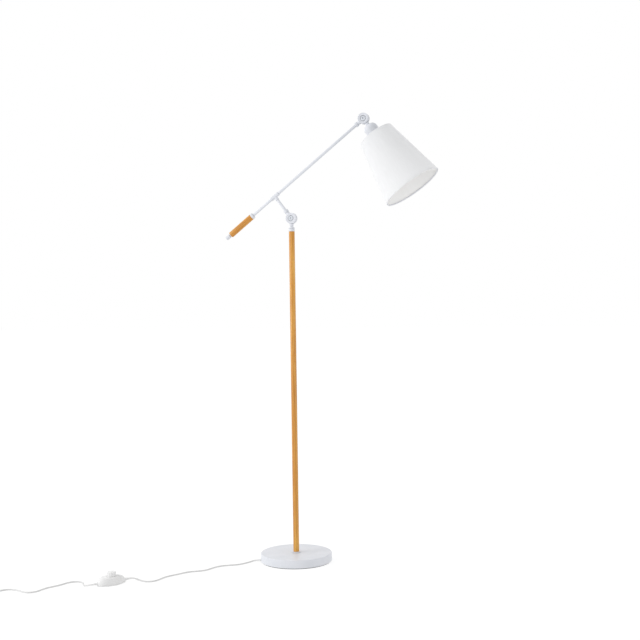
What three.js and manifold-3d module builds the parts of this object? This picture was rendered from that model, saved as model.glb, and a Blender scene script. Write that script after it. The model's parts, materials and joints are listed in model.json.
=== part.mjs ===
// Adjustable arm floor lamp: weighted disc base, wooden pole, balanced arm with two friction
// knuckles, wooden counterweight grip, conical shade, foot switch and mains lead.
// Millimetres, +Z up. The origin is the middle of the base's underside, and the arm swings in XZ.
import * as THREE from 'three';
import { mergeVertices } from 'three/addons/utils/BufferGeometryUtils.js';
import Module from 'manifold-3d';

const wasm = await Module();
wasm.setup();

// ---------- driving dimensions ----------
const gap = 0.3; // between fixed pieces that touch
const runGap = 0.3; // between pieces that turn on each other

const padThickness = 2; // felt under the base
const padInset = 3; // from the rim to the felt
const baseDiameter = 250;
const baseHeight = 30; // floor to the top of the cover
const coverWall = 1.6;
const coverLift = 2.4; // shadow gap under the rim
const coverEdge = 3; // rounding of the top edge
const weightThickness = 12;
const weightBossDiameter = 52;
const nutWellDiameter = 34;
const nutWellHeight = 20;
const baseNutAcross = 19;
const baseNutHeight = 5;
const baseWasherDiameter = 28;
const baseWasherThickness = 1.5;

const cordDiameter = 5;
const cordLift = 0.2; // floor to the lead's underside
const straightLead = 8; // how far the lead runs straight on from a housing
const cordTurn = 204; // degrees from +X to where the lead leaves the base
const glandHeight = 6.6; // floor to the middle of the lead in the base's wall
const glandDiameter = 8;
const glandFlangeDiameter = 10.6;
const glandFlangeThickness = 1.5;
const glandLength = 9; // inside the rim's outer face
const leadBend = 7.5; // radius under the foot of the core tube

const poleDiameter = 19;
const pivotOverPole = 46; // the pole's end grain to the lower pivot
const footFlangeDiameter = 35;
const footFlangeThickness = 2.4;
const coreDiameter = 10;
const coreWall = 1.9;

const ferruleDiameter = 19.6;
const ferruleHeight = 10;
const ferruleSpigotDiameter = 14;
const ferruleSpigotLength = 18;
const ferruleFloor = 5; // solid between the core tube and the swivel chamber
const swivelCollarDiameter = 21.5;
const swivelCollarHeight = 4;
const swivelStemDiameter = 11;
const swivelFlangeThickness = 2.6;

const knuckleDiameter = 38;
const knuckleThickness = 20.6;
const knuckleEdge = 1.4; // rounding of each half's rim
const knuckleRebateDiameter = 28;
const knuckleRebateDepth = 0.7;
const knuckleWellDiameter = 20;
const knuckleWellDepth = 5;
const knuckleFriction = 1; // thickness of the fibre disc between the halves
const neckDiameter = 14;
const neckRootDiameter = 16.5;
const neckEnd = 26.6; // pivot to the end of a knuckle's neck
const socketDepth = 6; // how deep a tube or nipple stands in a neck
const pivotDiameter = 6;
const pivotHeadDiameter = 16;
const pivotHeadHeight = 3.4;
const pivotHex = 5;
const pivotHexDepth = 2.2;
const pivotNutAcross = 10;
const springWasherDiameter = 15;
const springWasherThickness = 1;

const tubeDiameter = 10;
const tubeWall = 1.3;
const lockRingDiameter = 17;
const lockRingLength = 9;
const nippleDiameter = 7.8;
const nippleBore = 5.6;

const armRise = 37.5; // degrees, arm above the horizontal
const strutLength = 100; // lower pivot to the arm's centre line
const armReach = 413; // strut to the upper pivot, along the arm
const teeLength = 34;
const teeDiameter = 14.4;
const teeBranchDiameter = 13;
const teeBranchLength = 16; // arm's centre line to the end of the branch
const teeSocketDepth = 7;
const pivotHeight = 1204; // floor to the lower pivot

const gripStart = 104; // strut to the head-side face of the grip's ring
const gripDiameter = 21.5;
const gripRingLength = 8;
const gripWoodLength = 101;
const gripCoreDiameter = 17;
const gripRodDiameter = 6.8;
const gripRodStart = 90; // strut to the rod's end inside the arm tube
const gripRodIntoKnob = 11;
const gripKnobDiameter = 14;
const gripKnobLength = 22;
const gripKnobEdge = 3; // rounding of the knob's free end
const gripKnobNeckDiameter = 11;
const gripKnobNeckLength = 4;

const shadeDrop = 92.7; // degrees from the arm's line down to the shade's axis
const cupStartDiameter = 15;
const cupDiameter = 48;
const cupShoulder = 17; // height of the cup's round shoulder
const cupEnd = 86; // pivot to the cup's lower edge
const cupWall = 1.4;
const cupRoof = 4; // solid top of the cup, which the nipple clamps
const holderDiameter = 39;
const holderEnd = 104; // pivot to the lampholder's mouth
const holderBore = 28;
const holderCavity = 32; // depth of the lampholder's socket
const holderBossDiameter = 14;
const holderBossHeight = 14;
const contactDiameter = 12;
const contactThickness = 1.6;
const shadeStart = 73; // pivot to the shade's top plane
const shadeLength = 222;
const shadeTopDiameter = 128;
const shadeMouthDiameter = 210;
const shadeWall = 1.2;
const shadeWire = 3;
const shadeWireInset = 2.3; // shade's edge to the middle of its wire ring
const fittingRingDiameter = 54;
const fittingRingThickness = 1.5;
const fittingArms = 3;
const ringNutDiameter = 50;
const ringNutHeight = 7;
const bulbCapDiameter = 26.4;
const bulbCapLength = 25;
const bulbDiameter = 60;
const bulbLength = 105;
const bulbWall = 1;

const switchDistance = 657.5; // middle of the base to the middle of the switch
const switchBearing = 222.98; // degrees from +X
const switchTurn = 232; // degrees, from the base-side nozzle to the plug-side nozzle
const switchLength = 92;
const switchWidth = 54;
const switchHeight = 26;
const switchPlate = 3;
const switchWall = 2;
const switchCrown = 0.7; // flat top of the cover as a share of its outline
const switchSide = 7; // upright part of the cover's side
const nozzleHeight = 8;
const nozzleRoot = 16;
const nozzleTip = 7.4;
const nozzleReach = 56; // switch centre to a nozzle's end
const buttonDiameter = 30;
const buttonTop = 39; // floor to the button's top
const buttonWall = 2.2;
const buttonFlangeDiameter = 33.6;
const buttonFlangeThickness = 2.4;
const buttonRibs = 12;
const buttonTravel = 3.5; // down to where its rim lands on the switch block
const switchBlockDiameter = 28;
const switchPostDiameter = 6;
const switchPostHeight = 9;
const springDiameter = 11;
const springWire = 1;
const springTurns = 4;
const springSteps = 9; // straight steps in a turn of the spring

const coilDistance = 414.41; // middle of the switch to the middle of the coil
const coilBearing = 211.65; // degrees from +X
const coilDiameter = 55; // middle of the turns
const coilRows = 2;
const coilLayers = 3;
const coilLift = 0.8; // floor to the coil's underside, for its ties
const coilEntryTurn = 198.2; // degrees, the lead's direction where it meets the coil
const tailTurn = 108.2; // degrees, from the coil to the plug
const tailLength = 26;
const plugLength = 36;
const plugWidth = 26;
const plugThickness = 13.6;
const plugEdge = 2.4; // bevel of the plug's long edges
const plugNeckWidth = 9;
const plugSleeveLength = 9;
const plugPinDiameter = 4;
const plugPinLength = 19;
const plugPinSpacing = 18.6;
const pinSocketDepth = 5;

// The two floor routes of the lead, as points between their ends: share of the straight way
// ahead, share of it to the left, and how many diameters the lead is raised there.
const baseToSwitchRoute = [
  [0.0383, -0.0138, 0.65],
  [0.0785, -0.0137, 0.11],
  [0.1182, -0.0038, 0],
  [0.1581, 0.0047, 0],
  [0.1988, 0.0029, 0],
  [0.2381, -0.0081, 0],
  [0.2777, -0.018, 0],
  [0.3185, -0.0182, 0],
  [0.3577, -0.0071, 0],
  [0.3943, 0.011, 0],
  [0.4318, 0.027, 0],
  [0.4723, 0.0305, 0],
  [0.5121, 0.0216, 0],
  [0.5522, 0.014, 0],
  [0.5928, 0.0171, 0],
  [0.6325, 0.027, 0],
  [0.6724, 0.0359, 0],
  [0.7124, 0.0441, 0],
  [0.7509, 0.0576, 0],
  [0.7857, 0.079, 0],
  [0.8195, 0.102, 0],
  [0.858, 0.1143, 0],
  [0.8964, 0.1029, 0],
  [0.9195, 0.0699, 0],
  [0.9328, 0.0314, 0.19],
  [0.96, 0.0031, 0.91],
];
const switchToCoilRoute = [
  [0.0518, 0.0052, 0.91],
  [0.0909, -0.028, 0.19],
  [0.1013, -0.0795, 0],
  [0.1021, -0.1328, 0],
  [0.1287, -0.1782, 0],
  [0.1779, -0.1961, 0],
  [0.228, -0.1794, 0],
  [0.2691, -0.1452, 0],
  [0.3115, -0.1128, 0],
  [0.3588, -0.0878, 0],
  [0.4054, -0.0617, 0],
  [0.4449, -0.0258, 0],
  [0.4802, 0.0145, 0],
  [0.5254, 0.0417, 0],
  [0.5774, 0.0354, 0],
  [0.6165, -0.0004, 0],
  [0.646, -0.045, 0],
  [0.6809, -0.0854, 0],
  [0.728, -0.1098, 0],
  [0.7805, -0.1057, 0],
  [0.823, -0.0741, 0],
  [0.8557, -0.0317, 0],
  [0.896, 0.0029, 0],
];

// ---------- sizes that follow ----------
const tubeRadius = tubeDiameter / 2;
const tubeBore = tubeRadius - tubeWall;
const poleFoot = baseHeight + gap + footFlangeThickness + gap;
const poleTop = pivotHeight - pivotOverPole;
const coreFoot = glandHeight + leadBend;
const coreBore = coreDiameter / 2 + gap;
const tubeSocket = tubeRadius + gap;
const nippleSocket = nippleDiameter / 2 + gap;
const wellTop = padThickness + gap + nutWellHeight;
const knuckleHalfStart = knuckleFriction / 2 + gap;
const wellFloor = knuckleThickness / 2 - knuckleWellDepth;
const neckClearance = knuckleDiameter / 2 + 0.8;
const stemTop = pivotHeight - neckEnd + socketDepth - gap;
const boreRadius = cordDiameter / 2 + gap;
const shadeSlope = (shadeMouthDiameter - shadeTopDiameter) / 2 / shadeLength;
const holderSocketFloor = holderEnd - holderCavity;
const buttonRimTop = switchHeight - switchWall - runGap;
const buttonFoot = buttonRimTop - buttonFlangeThickness;
const switchCentre = polar(switchDistance, switchBearing);
const coilCentre = switchCentre.clone().add(polar(coilDistance, coilBearing));
const floorCord = cordLift + cordDiameter / 2;
const coilOuter = coilDiameter / 2 + (coilRows * cordDiameter) / 2;
// Along a tangent, from the touching point to where the lead's inner side clears the coil.
const coilClear = Math.sqrt(coilOuter ** 2 - (coilOuter - cordDiameter) ** 2) + gap;

function polar(distance, bearing) {
  const angle = THREE.MathUtils.degToRad(bearing);
  return new THREE.Vector3(distance * Math.cos(angle), distance * Math.sin(angle), 0);
}

// ---------- materials ----------
function paint(color, roughness, metalness = 0) {
  return new THREE.MeshStandardMaterial({ color, roughness, metalness });
}
const white = 0xe9eaec;
const steel = 0xb9bcc0;
const finishes = {
  enamel: () => paint(white, 0.45),
  oak: () => paint(0xc98a45, 0.55),
  iron: () => paint(0x4b4c4e, 0.7, 0.6),
  steel: () => paint(steel, 0.3, 1),
  brass: () => paint(0xc9a85a, 0.3, 1),
  fibre: () => paint(0x6b5f52, 0.8),
  felt: () => paint(0x303234, 0.95),
  plastic: () => paint(0xe6e7e8, 0.4),
  cord: () => paint(0xe4e4e3, 0.5),
  shade: () => paint(0xf0f0ef, 0.85),
  glass: () => paint(0xf6f5f1, 0.25),
};

// ---------- making and joining solids ----------
// Sides of a revolved piece: small and hidden ones, hand-sized ones, and the base and shade.
const smallSides = 12;
const roundSides = 18;
const knuckleSides = 22;
const wideSides = 44;

function toSolid(geometry) {
  const bare = geometry.clone();
  bare.deleteAttribute('normal');
  bare.deleteAttribute('uv');
  const merged = mergeVertices(bare, 1e-4);
  return new wasm.Manifold(new wasm.Mesh({
    numProp: 3,
    vertProperties: new Float32Array(merged.attributes.position.array),
    triVerts: new Uint32Array(merged.index.array),
  }));
}

function toGeometry(solid) {
  const mesh = solid.getMesh();
  const geometry = new THREE.BufferGeometry();
  geometry.setAttribute('position', new THREE.BufferAttribute(mesh.vertProperties, 3));
  geometry.setIndex(new THREE.BufferAttribute(mesh.triVerts, 1));
  geometry.computeVertexNormals();
  return geometry;
}

function join(...geometries) {
  return toGeometry(geometries.map(toSolid).reduce((whole, next) => whole.add(next)));
}

function cut(geometry, ...tools) {
  return toGeometry(tools.map(toSolid).reduce((rest, tool) => rest.subtract(tool), toSolid(geometry)));
}

// A revolved piece about Z. A profile of [radius, height] pairs that leaves the axis is closed,
// and a radius that is nothing but rounding error lies on the axis.
function turned(profile, segments = roundSides) {
  const points = profile.map(([radius, height]) => new THREE.Vector2(radius < 1e-9 ? 0 : radius, height));
  const onAxis = points[0].x === 0 && points[points.length - 1].x === 0;
  if (THREE.ShapeUtils.area(points) < 0) points.reverse();
  if (!onAxis) points.push(points[0].clone());
  return new THREE.LatheGeometry(points, segments).rotateX(Math.PI / 2);
}

function rod(radius, from, to, segments = smallSides) {
  return turned([[0, from], [radius, from], [radius, to], [0, to]], segments);
}

function ring(inner, outer, from, to, segments = smallSides) {
  return turned([[inner, from], [outer, from], [outer, to], [inner, to]], segments);
}

// A rod or ring with small chamfers on its outer edges.
function edgedRing(inner, outer, from, to, edge, segments = roundSides) {
  return turned([
    [inner, from],
    [outer - edge, from],
    [outer, from + edge],
    [outer, to - edge],
    [outer - edge, to],
    [inner, to],
  ], segments);
}

// Points of an arc in a profile, ends included; angles in degrees. It is an oval arc if its
// upright radius, rise, is not its level one.
function arc(centreRadius, centreHeight, radius, start, end, steps, rise = radius) {
  return Array.from({ length: steps + 1 }, (_, i) => {
    const angle = THREE.MathUtils.degToRad(start + ((end - start) * i) / steps);
    return [centreRadius + radius * Math.cos(angle), centreHeight + rise * Math.sin(angle)];
  });
}

function along(axis, geometry) {
  if (axis === 'x') return geometry.rotateY(Math.PI / 2);
  if (axis === 'y') return geometry.rotateX(-Math.PI / 2);
  return geometry;
}

function hexPrism(across, from, to) {
  const radius = across / Math.sqrt(3);
  const prism = new THREE.CylinderGeometry(radius, radius, to - from, 6).rotateX(Math.PI / 2);
  return prism.translate(0, 0, (from + to) / 2);
}

// A flat outline in XY, standing from one height to another.
function slab(shape, from, to, curveSegments = 24) {
  const options = { depth: to - from, bevelEnabled: false, curveSegments };
  return new THREE.ExtrudeGeometry(shape, options).translate(0, 0, from);
}

function circleShape(radius, sides) {
  const corners = Array.from({ length: sides }, (_, i) => {
    const angle = (i * 2 * Math.PI) / sides;
    return new THREE.Vector2(radius * Math.cos(angle), radius * Math.sin(angle));
  });
  return new THREE.Shape(corners);
}

function swept(curve, diameter, sides, step) {
  const steps = Math.max(2, Math.round(curve.getLength() / step));
  const options = { steps, extrudePath: curve, bevelEnabled: false };
  return new THREE.ExtrudeGeometry(circleShape(diameter / 2, sides), options);
}

function smoothCurve(points) {
  return new THREE.CatmullRomCurve3(points.map((p) => new THREE.Vector3(...p)), false, 'centripetal');
}

function addPiece(group, name, geometry, finish) {
  const mesh = new THREE.Mesh(geometry, finishes[finish]());
  mesh.name = name;
  group.add(mesh);
}

function turnedGroup(parent, degrees, position = new THREE.Vector3()) {
  const group = new THREE.Group();
  group.position.copy(position);
  group.rotation.z = THREE.MathUtils.degToRad(degrees);
  parent.add(group);
  return group;
}

// ---------- base ----------
function baseCover(cordSide) {
  const outer = baseDiameter / 2;
  const inner = outer - coverWall;
  const innerEdge = coverEdge - coverWall;
  const shell = turned([
    [coreBore, baseHeight],
    ...arc(outer - coverEdge, baseHeight - coverEdge, coverEdge, 90, 0, 3),
    [outer, coverLift],
    [inner, coverLift],
    ...arc(inner - innerEdge, baseHeight - coverWall - innerEdge, innerEdge, 0, 90, 1),
    [coreBore, baseHeight - coverWall],
  ], wideSides);
  return cut(shell, glandOpening(cordSide, glandDiameter / 2 + gap));
}

// The mouse hole in the rim: a round top on straight sides that run down to the open edge.
function glandOpening(cordSide, radius) {
  const reach = baseDiameter / 2;
  const half = glandLength + coverEdge;
  const tunnel = along('x', rod(radius, reach - half, reach + half)).translate(0, 0, glandHeight);
  const slot = new THREE.BoxGeometry(2 * half, radius * 2, glandHeight);
  slot.translate(reach, 0, glandHeight / 2);
  return join(tunnel, slot).rotateZ(cordSide);
}

function baseWeight(cordSide) {
  const outer = baseDiameter / 2 - coverWall - gap;
  const under = padThickness + gap;
  const plateTop = under + weightThickness;
  const bossTop = baseHeight - coverWall - gap;
  const casting = turned([
    [nutWellDiameter / 2, under],
    [outer, under],
    [outer, plateTop - 2],
    [outer - 2, plateTop],
    [weightBossDiameter / 2 + 3, plateTop],
    [weightBossDiameter / 2, bossTop],
    [coreBore, bossTop],
    [coreBore, wellTop],
    [nutWellDiameter / 2, wellTop],
  ], wideSides);
  const width = glandDiameter + 1.4;
  const height = glandHeight + width / 2;
  const groove = new THREE.BoxGeometry(outer + 10, width, height);
  groove.translate((outer + 10) / 2, 0, height / 2);
  return cut(casting, groove.rotateZ(cordSide));
}

function gland(cordSide) {
  const wallOuter = baseDiameter / 2;
  const flangeEnd = wallOuter + gap + glandFlangeThickness;
  const bush = turned([
    [boreRadius, wallOuter - glandLength],
    [glandDiameter / 2, wallOuter - glandLength],
    [glandDiameter / 2, wallOuter + gap],
    [glandFlangeDiameter / 2, wallOuter + gap],
    [glandFlangeDiameter / 2 - 0.5, flangeEnd],
    [boreRadius, flangeEnd],
  ], smallSides);
  return along('x', bush).translate(0, 0, glandHeight).rotateZ(cordSide);
}

// The lead runs in the weight's groove and turns up under the core tube.
function leadInBase(cordSide) {
  const outside = baseDiameter / 2 + gap + glandFlangeThickness;
  const path = new THREE.CurvePath();
  const rise = new THREE.Vector3(0, 0, glandHeight);
  const bendStart = new THREE.Vector3(leadBend, 0, glandHeight);
  const bendMiddle = new THREE.Vector3(0, 0, glandHeight);
  const bendEnd = new THREE.Vector3(0, 0, glandHeight + leadBend - gap);
  path.add(new THREE.LineCurve3(new THREE.Vector3(outside, 0, 0).add(rise), bendStart));
  path.add(new THREE.QuadraticBezierCurve3(bendStart, bendMiddle, bendEnd));
  return swept(path, cordDiameter, 6, 6).rotateZ(cordSide);
}

function buildBase(lamp) {
  const cordSide = THREE.MathUtils.degToRad(cordTurn);
  const washerTop = wellTop - gap;
  const nutTop = washerTop - baseWasherThickness - gap;
  const nut = cut(hexPrism(baseNutAcross, nutTop - baseNutHeight, nutTop),
    rod(coreBore, nutTop - baseNutHeight - 1, nutTop + 1));
  const flange = turned([
    [coreBore, baseHeight + gap],
    [footFlangeDiameter / 2, baseHeight + gap],
    [footFlangeDiameter / 2 - 0.3, baseHeight + gap + footFlangeThickness * 0.4],
    [footFlangeDiameter / 2 - 2, baseHeight + gap + footFlangeThickness],
    [coreBore, baseHeight + gap + footFlangeThickness],
  ]);
  addPiece(lamp, 'base_pad', rod(baseDiameter / 2 - padInset, 0, padThickness, wideSides), 'felt');
  addPiece(lamp, 'base_cover', baseCover(cordSide), 'enamel');
  addPiece(lamp, 'base_weight', baseWeight(cordSide), 'iron');
  addPiece(lamp, 'base_washer',
    ring(coreBore, baseWasherDiameter / 2, washerTop - baseWasherThickness, washerTop), 'steel');
  addPiece(lamp, 'base_nut', nut, 'steel');
  addPiece(lamp, 'cord_gland', gland(cordSide), 'plastic');
  addPiece(lamp, 'lead_in_base', leadInBase(cordSide), 'cord');
  addPiece(lamp, 'pole_foot_flange', flange, 'enamel');
}

// ---------- pole ----------
function buildPole(lamp) {
  const spigot = ferruleSpigotDiameter / 2;
  const spigotFoot = poleTop - ferruleSpigotLength;
  const coreTop = poleTop - ferruleFloor + 2;
  const sleeveFoot = poleTop + gap;
  const sleeveTop = sleeveFoot + ferruleHeight;
  const chamberFloor = coreTop + gap + ferruleFloor;
  const chamber = spigot - 0.4;
  const wood = turned([
    [coreBore, poleFoot],
    [poleDiameter / 2, poleFoot],
    [poleDiameter / 2, poleTop],
    [spigot + gap, poleTop],
    [spigot + gap, spigotFoot - gap],
    [coreBore, spigotFoot - gap],
  ]);
  const ferrule = turned([
    [coreBore, spigotFoot],
    [spigot, spigotFoot],
    [spigot, sleeveFoot],
    [ferruleDiameter / 2, sleeveFoot],
    [ferruleDiameter / 2, sleeveTop],
    [chamber, sleeveTop],
    [chamber, chamberFloor],
    [boreRadius, chamberFloor],
    [boreRadius, coreTop + gap],
    [coreBore, coreTop + gap],
  ]);
  const flangeFoot = chamberFloor + runGap;
  const flangeTop = flangeFoot + swivelFlangeThickness;
  const collarFoot = sleeveTop + gap;
  const stemBore = swivelStemDiameter / 2 + runGap;
  const collar = turned([
    [stemBore, flangeTop + runGap],
    [chamber - gap, flangeTop + runGap],
    [chamber - gap, collarFoot],
    [swivelCollarDiameter / 2, collarFoot],
    [swivelCollarDiameter / 2, collarFoot + swivelCollarHeight - 1],
    [swivelCollarDiameter / 2 - 1, collarFoot + swivelCollarHeight],
    [stemBore, collarFoot + swivelCollarHeight],
  ]);
  const neckFoot = pivotHeight - neckEnd;
  const stem = turned([
    [nippleBore / 2, flangeFoot],
    [chamber - runGap, flangeFoot],
    [chamber - runGap, flangeTop],
    [swivelStemDiameter / 2, flangeTop],
    [swivelStemDiameter / 2, neckFoot - gap],
    [nippleDiameter / 2, neckFoot - gap],
    [nippleDiameter / 2, stemTop],
    [nippleBore / 2, stemTop],
  ], smallSides);
  addPiece(lamp, 'pole_core_tube',
    ring(coreDiameter / 2 - coreWall, coreDiameter / 2, coreFoot, coreTop), 'steel');
  addPiece(lamp, 'lead_in_pole', rod(cordDiameter / 2, coreFoot, chamberFloor - gap, 8), 'cord');
  addPiece(lamp, 'pole_wood', wood, 'oak');
  addPiece(lamp, 'pole_ferrule', ferrule, 'enamel');
  addPiece(lamp, 'swivel_collar', collar, 'enamel');
  addPiece(lamp, 'swivel_stem', stem, 'enamel');
}

// ---------- friction knuckles ----------
// One half of a knuckle. Its pivot runs along Y, its disc lies on one side of the middle plane
// (side is -1 or 1), and its neck points along +Z with its axis in the middle plane. Inside the
// other half's sweep the neck is cut away, so it carries on only into its own disc.
function knuckleHalf(side, socketRadius) {
  const radius = knuckleDiameter / 2;
  const face = knuckleThickness / 2;
  const rebate = face - knuckleRebateDepth;
  const disc = along('y', turned([
    [pivotDiameter / 2 + gap, knuckleHalfStart],
    [radius, knuckleHalfStart],
    ...arc(radius - knuckleEdge, face - knuckleEdge, knuckleEdge, 0, 90, 2),
    [knuckleRebateDiameter / 2 + 0.5, face],
    [knuckleRebateDiameter / 2, rebate],
    [knuckleWellDiameter / 2, rebate],
    [knuckleWellDiameter / 2, wellFloor],
    [pivotDiameter / 2 + gap, wellFloor],
  ], knuckleSides));
  const neck = turned([
    [0, knuckleWellDiameter / 2 + 2],
    [neckRootDiameter / 2, knuckleWellDiameter / 2 + 2],
    [neckRootDiameter / 2, radius - 1],
    [neckDiameter / 2, radius + 2.5],
    [neckDiameter / 2, neckEnd - 0.6],
    [neckDiameter / 2 - 0.6, neckEnd],
    [0, neckEnd],
  ], 16);
  const otherHalf = along('y', rod(neckClearance, -knuckleThickness, knuckleHalfStart, knuckleSides));
  const socket = rod(socketRadius, neckEnd - socketDepth, neckEnd + 1);
  const half = join(disc, cut(neck, otherHalf, socket));
  if (side < 0) half.rotateZ(Math.PI);
  return half;
}

function pivotScrew() {
  const washerFoot = wellFloor + gap;
  const headFoot = washerFoot + springWasherThickness + gap;
  const nutEnd = wellFloor + gap + pivotHeadHeight;
  const body = turned([
    [0, -nutEnd],
    [pivotDiameter / 2, -nutEnd],
    [pivotDiameter / 2, headFoot],
    [pivotHeadDiameter / 2, headFoot],
    [pivotHeadDiameter / 2, headFoot + pivotHeadHeight - 0.5],
    [pivotHeadDiameter / 2 - 0.5, headFoot + pivotHeadHeight],
    [0, headFoot + pivotHeadHeight],
  ], smallSides);
  const top = headFoot + pivotHeadHeight;
  return cut(body, hexPrism(pivotHex, top - pivotHexDepth, top + 1));
}

// The screw, its spring washer and the fibre disc stay with the front half.
function addPivotFront(group, prefix) {
  const flip = Math.PI / 2; // a Z-turned piece then points to -Y
  const washer = ring(pivotDiameter / 2 + gap, springWasherDiameter / 2,
    wellFloor + gap, wellFloor + gap + springWasherThickness);
  const fibre = ring(pivotDiameter / 2 + gap, knuckleDiameter / 2 - 2,
    -knuckleFriction / 2, knuckleFriction / 2, roundSides);
  addPiece(group, `${prefix}_pivot_screw`, pivotScrew().rotateX(flip), 'steel');
  addPiece(group, `${prefix}_spring_washer`, washer.rotateX(flip), 'steel');
  addPiece(group, `${prefix}_friction_disc`, fibre.rotateX(flip), 'fibre');
}

function addPivotNut(group, prefix) {
  const foot = wellFloor + gap;
  const blank = hexPrism(pivotNutAcross, foot, foot + pivotHeadHeight);
  const nut = cut(blank, rod(pivotDiameter / 2 + gap, foot - 1, foot + pivotHeadHeight + 1));
  addPiece(group, `${prefix}_pivot_nut`, along('y', nut), 'steel');
}

// ---------- strut, arm and grip ----------
function tee() {
  const sleeve = along('x', edgedRing(0, teeDiameter / 2, -teeLength / 2, teeLength / 2, 0.6));
  const branch = turned([
    [0, -teeBranchLength],
    [teeBranchDiameter / 2 - 0.6, -teeBranchLength],
    [teeBranchDiameter / 2, -teeBranchLength + 0.6],
    [teeBranchDiameter / 2, 0],
    [0, 0],
  ]);
  const armBore = along('x', rod(tubeSocket, -teeLength, teeLength));
  const socket = rod(tubeSocket, -teeBranchLength - 1, -teeBranchLength + teeSocketDepth);
  return cut(join(sleeve, branch), armBore, socket);
}

function buildGrip(armLine) {
  const ringEnd = -(gripStart + gripRingLength);
  const woodFoot = ringEnd - gap;
  const woodEnd = woodFoot - gripWoodLength;
  const rodBore = gripRodDiameter / 2 + gap;
  const knobStart = woodEnd - gap;
  const knobEnd = knobStart - gripKnobLength;
  const rodEnd = knobStart - gripRodIntoKnob;
  const knob = turned([
    [0, knobEnd],
    ...arc(gripKnobDiameter / 2 - gripKnobEdge, knobEnd + gripKnobEdge, gripKnobEdge, -90, 0, 3),
    [gripKnobDiameter / 2, knobStart - gripKnobNeckLength - 1],
    [gripKnobNeckDiameter / 2, knobStart - gripKnobNeckLength],
    [gripKnobNeckDiameter / 2, knobStart],
    [rodBore, knobStart],
    [rodBore, rodEnd - gap],
    [0, rodEnd - gap],
  ]);
  const wood = edgedRing(gripCoreDiameter / 2 + gap, gripDiameter / 2, woodEnd, woodFoot, 0.8);
  addPiece(armLine, 'grip_ring',
    along('x', edgedRing(tubeSocket, gripDiameter / 2, ringEnd, -gripStart, 0.6)), 'enamel');
  addPiece(armLine, 'grip_rod',
    along('x', rod(gripRodDiameter / 2, rodEnd, -gripRodStart)), 'steel');
  addPiece(armLine, 'grip_core',
    along('x', ring(rodBore, gripCoreDiameter / 2, woodEnd + 1, woodFoot)), 'iron');
  addPiece(armLine, 'grip_wood', along('x', wood), 'oak');
  addPiece(armLine, 'grip_knob', along('x', knob), 'enamel');
}

function buildArm(lamp) {
  const arm = new THREE.Group();
  arm.position.z = pivotHeight;
  arm.rotation.y = -THREE.MathUtils.degToRad(armRise);
  lamp.add(arm);

  const lockFoot = neckEnd + gap;
  const strutFoot = neckEnd - socketDepth + gap;
  const strutTop = strutLength - teeBranchLength + teeSocketDepth - gap;
  const lockEnd = lockFoot + lockRingLength;
  const lockRing = () => edgedRing(tubeSocket, lockRingDiameter / 2, lockFoot, lockEnd, 1);
  addPiece(arm, 'lower_knuckle_front', knuckleHalf(-1, tubeSocket), 'enamel');
  addPivotFront(arm, 'lower');
  addPiece(arm, 'strut_lock_ring', lockRing(), 'enamel');
  addPiece(arm, 'strut_tube', ring(tubeBore, tubeRadius, strutFoot, strutTop), 'enamel');
  addPiece(arm, 'lead_in_strut',
    rod(cordDiameter / 2, strutFoot, strutTop, 8), 'cord');

  const armLine = new THREE.Group();
  armLine.position.z = strutLength;
  arm.add(armLine);
  const tubeStart = -(gripStart + gripRingLength);
  const tubeEnd = armReach - strutFoot;
  addPiece(armLine, 'arm_tee', tee(), 'enamel');
  addPiece(armLine, 'arm_tube', along('x', ring(tubeBore, tubeRadius, tubeStart, tubeEnd)), 'enamel');
  addPiece(armLine, 'lead_in_arm',
    along('x', rod(cordDiameter / 2, -teeLength / 2, tubeEnd, 8)), 'cord');
  buildGrip(armLine);

  const upper = new THREE.Group();
  upper.position.x = armReach;
  armLine.add(upper);
  const back = new THREE.Group();
  back.rotation.y = -Math.PI / 2; // the front half's neck looks back along the arm
  upper.add(back);
  addPiece(back, 'upper_knuckle_front', knuckleHalf(-1, tubeSocket), 'enamel');
  addPivotFront(back, 'upper');
  addPiece(back, 'arm_lock_ring', lockRing(), 'enamel');
  return upper;
}

// ---------- lampholder, shade and bulb ----------
function cup() {
  const start = neckEnd + gap;
  const outer = cupDiameter / 2;
  const inner = outer - cupWall;
  const shoulderRadius = outer - cupStartDiameter / 2 - 2;
  const bend = start + 1.5 + cupShoulder;
  const roof = start + cupRoof;
  const innerShoulder = shoulderRadius - cupWall;
  return turned([
    [nippleSocket, start],
    [cupStartDiameter / 2, start],
    [cupStartDiameter / 2 + 0.6, start + 1.5],
    ...arc(outer - shoulderRadius, bend, shoulderRadius, -90, 0, 5, cupShoulder),
    [outer, cupEnd],
    [inner, cupEnd],
    ...arc(inner - innerShoulder, bend, innerShoulder, 0, -90, 3, bend - roof),
    [nippleSocket, roof],
  ]);
}

function lampholder() {
  const bossFoot = neckEnd + gap + cupRoof + gap;
  const bodyFoot = bossFoot + holderBossHeight;
  return turned([
    [nippleSocket, bossFoot],
    [holderBossDiameter / 2, bossFoot],
    [holderBossDiameter / 2, bodyFoot],
    [holderDiameter / 2 - 3, bodyFoot],
    [holderDiameter / 2, bodyFoot + 3],
    [holderDiameter / 2, holderEnd],
    [holderBore / 2, holderEnd],
    [holderBore / 2, holderSocketFloor],
    [nippleSocket, holderSocketFloor],
  ]);
}

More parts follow.
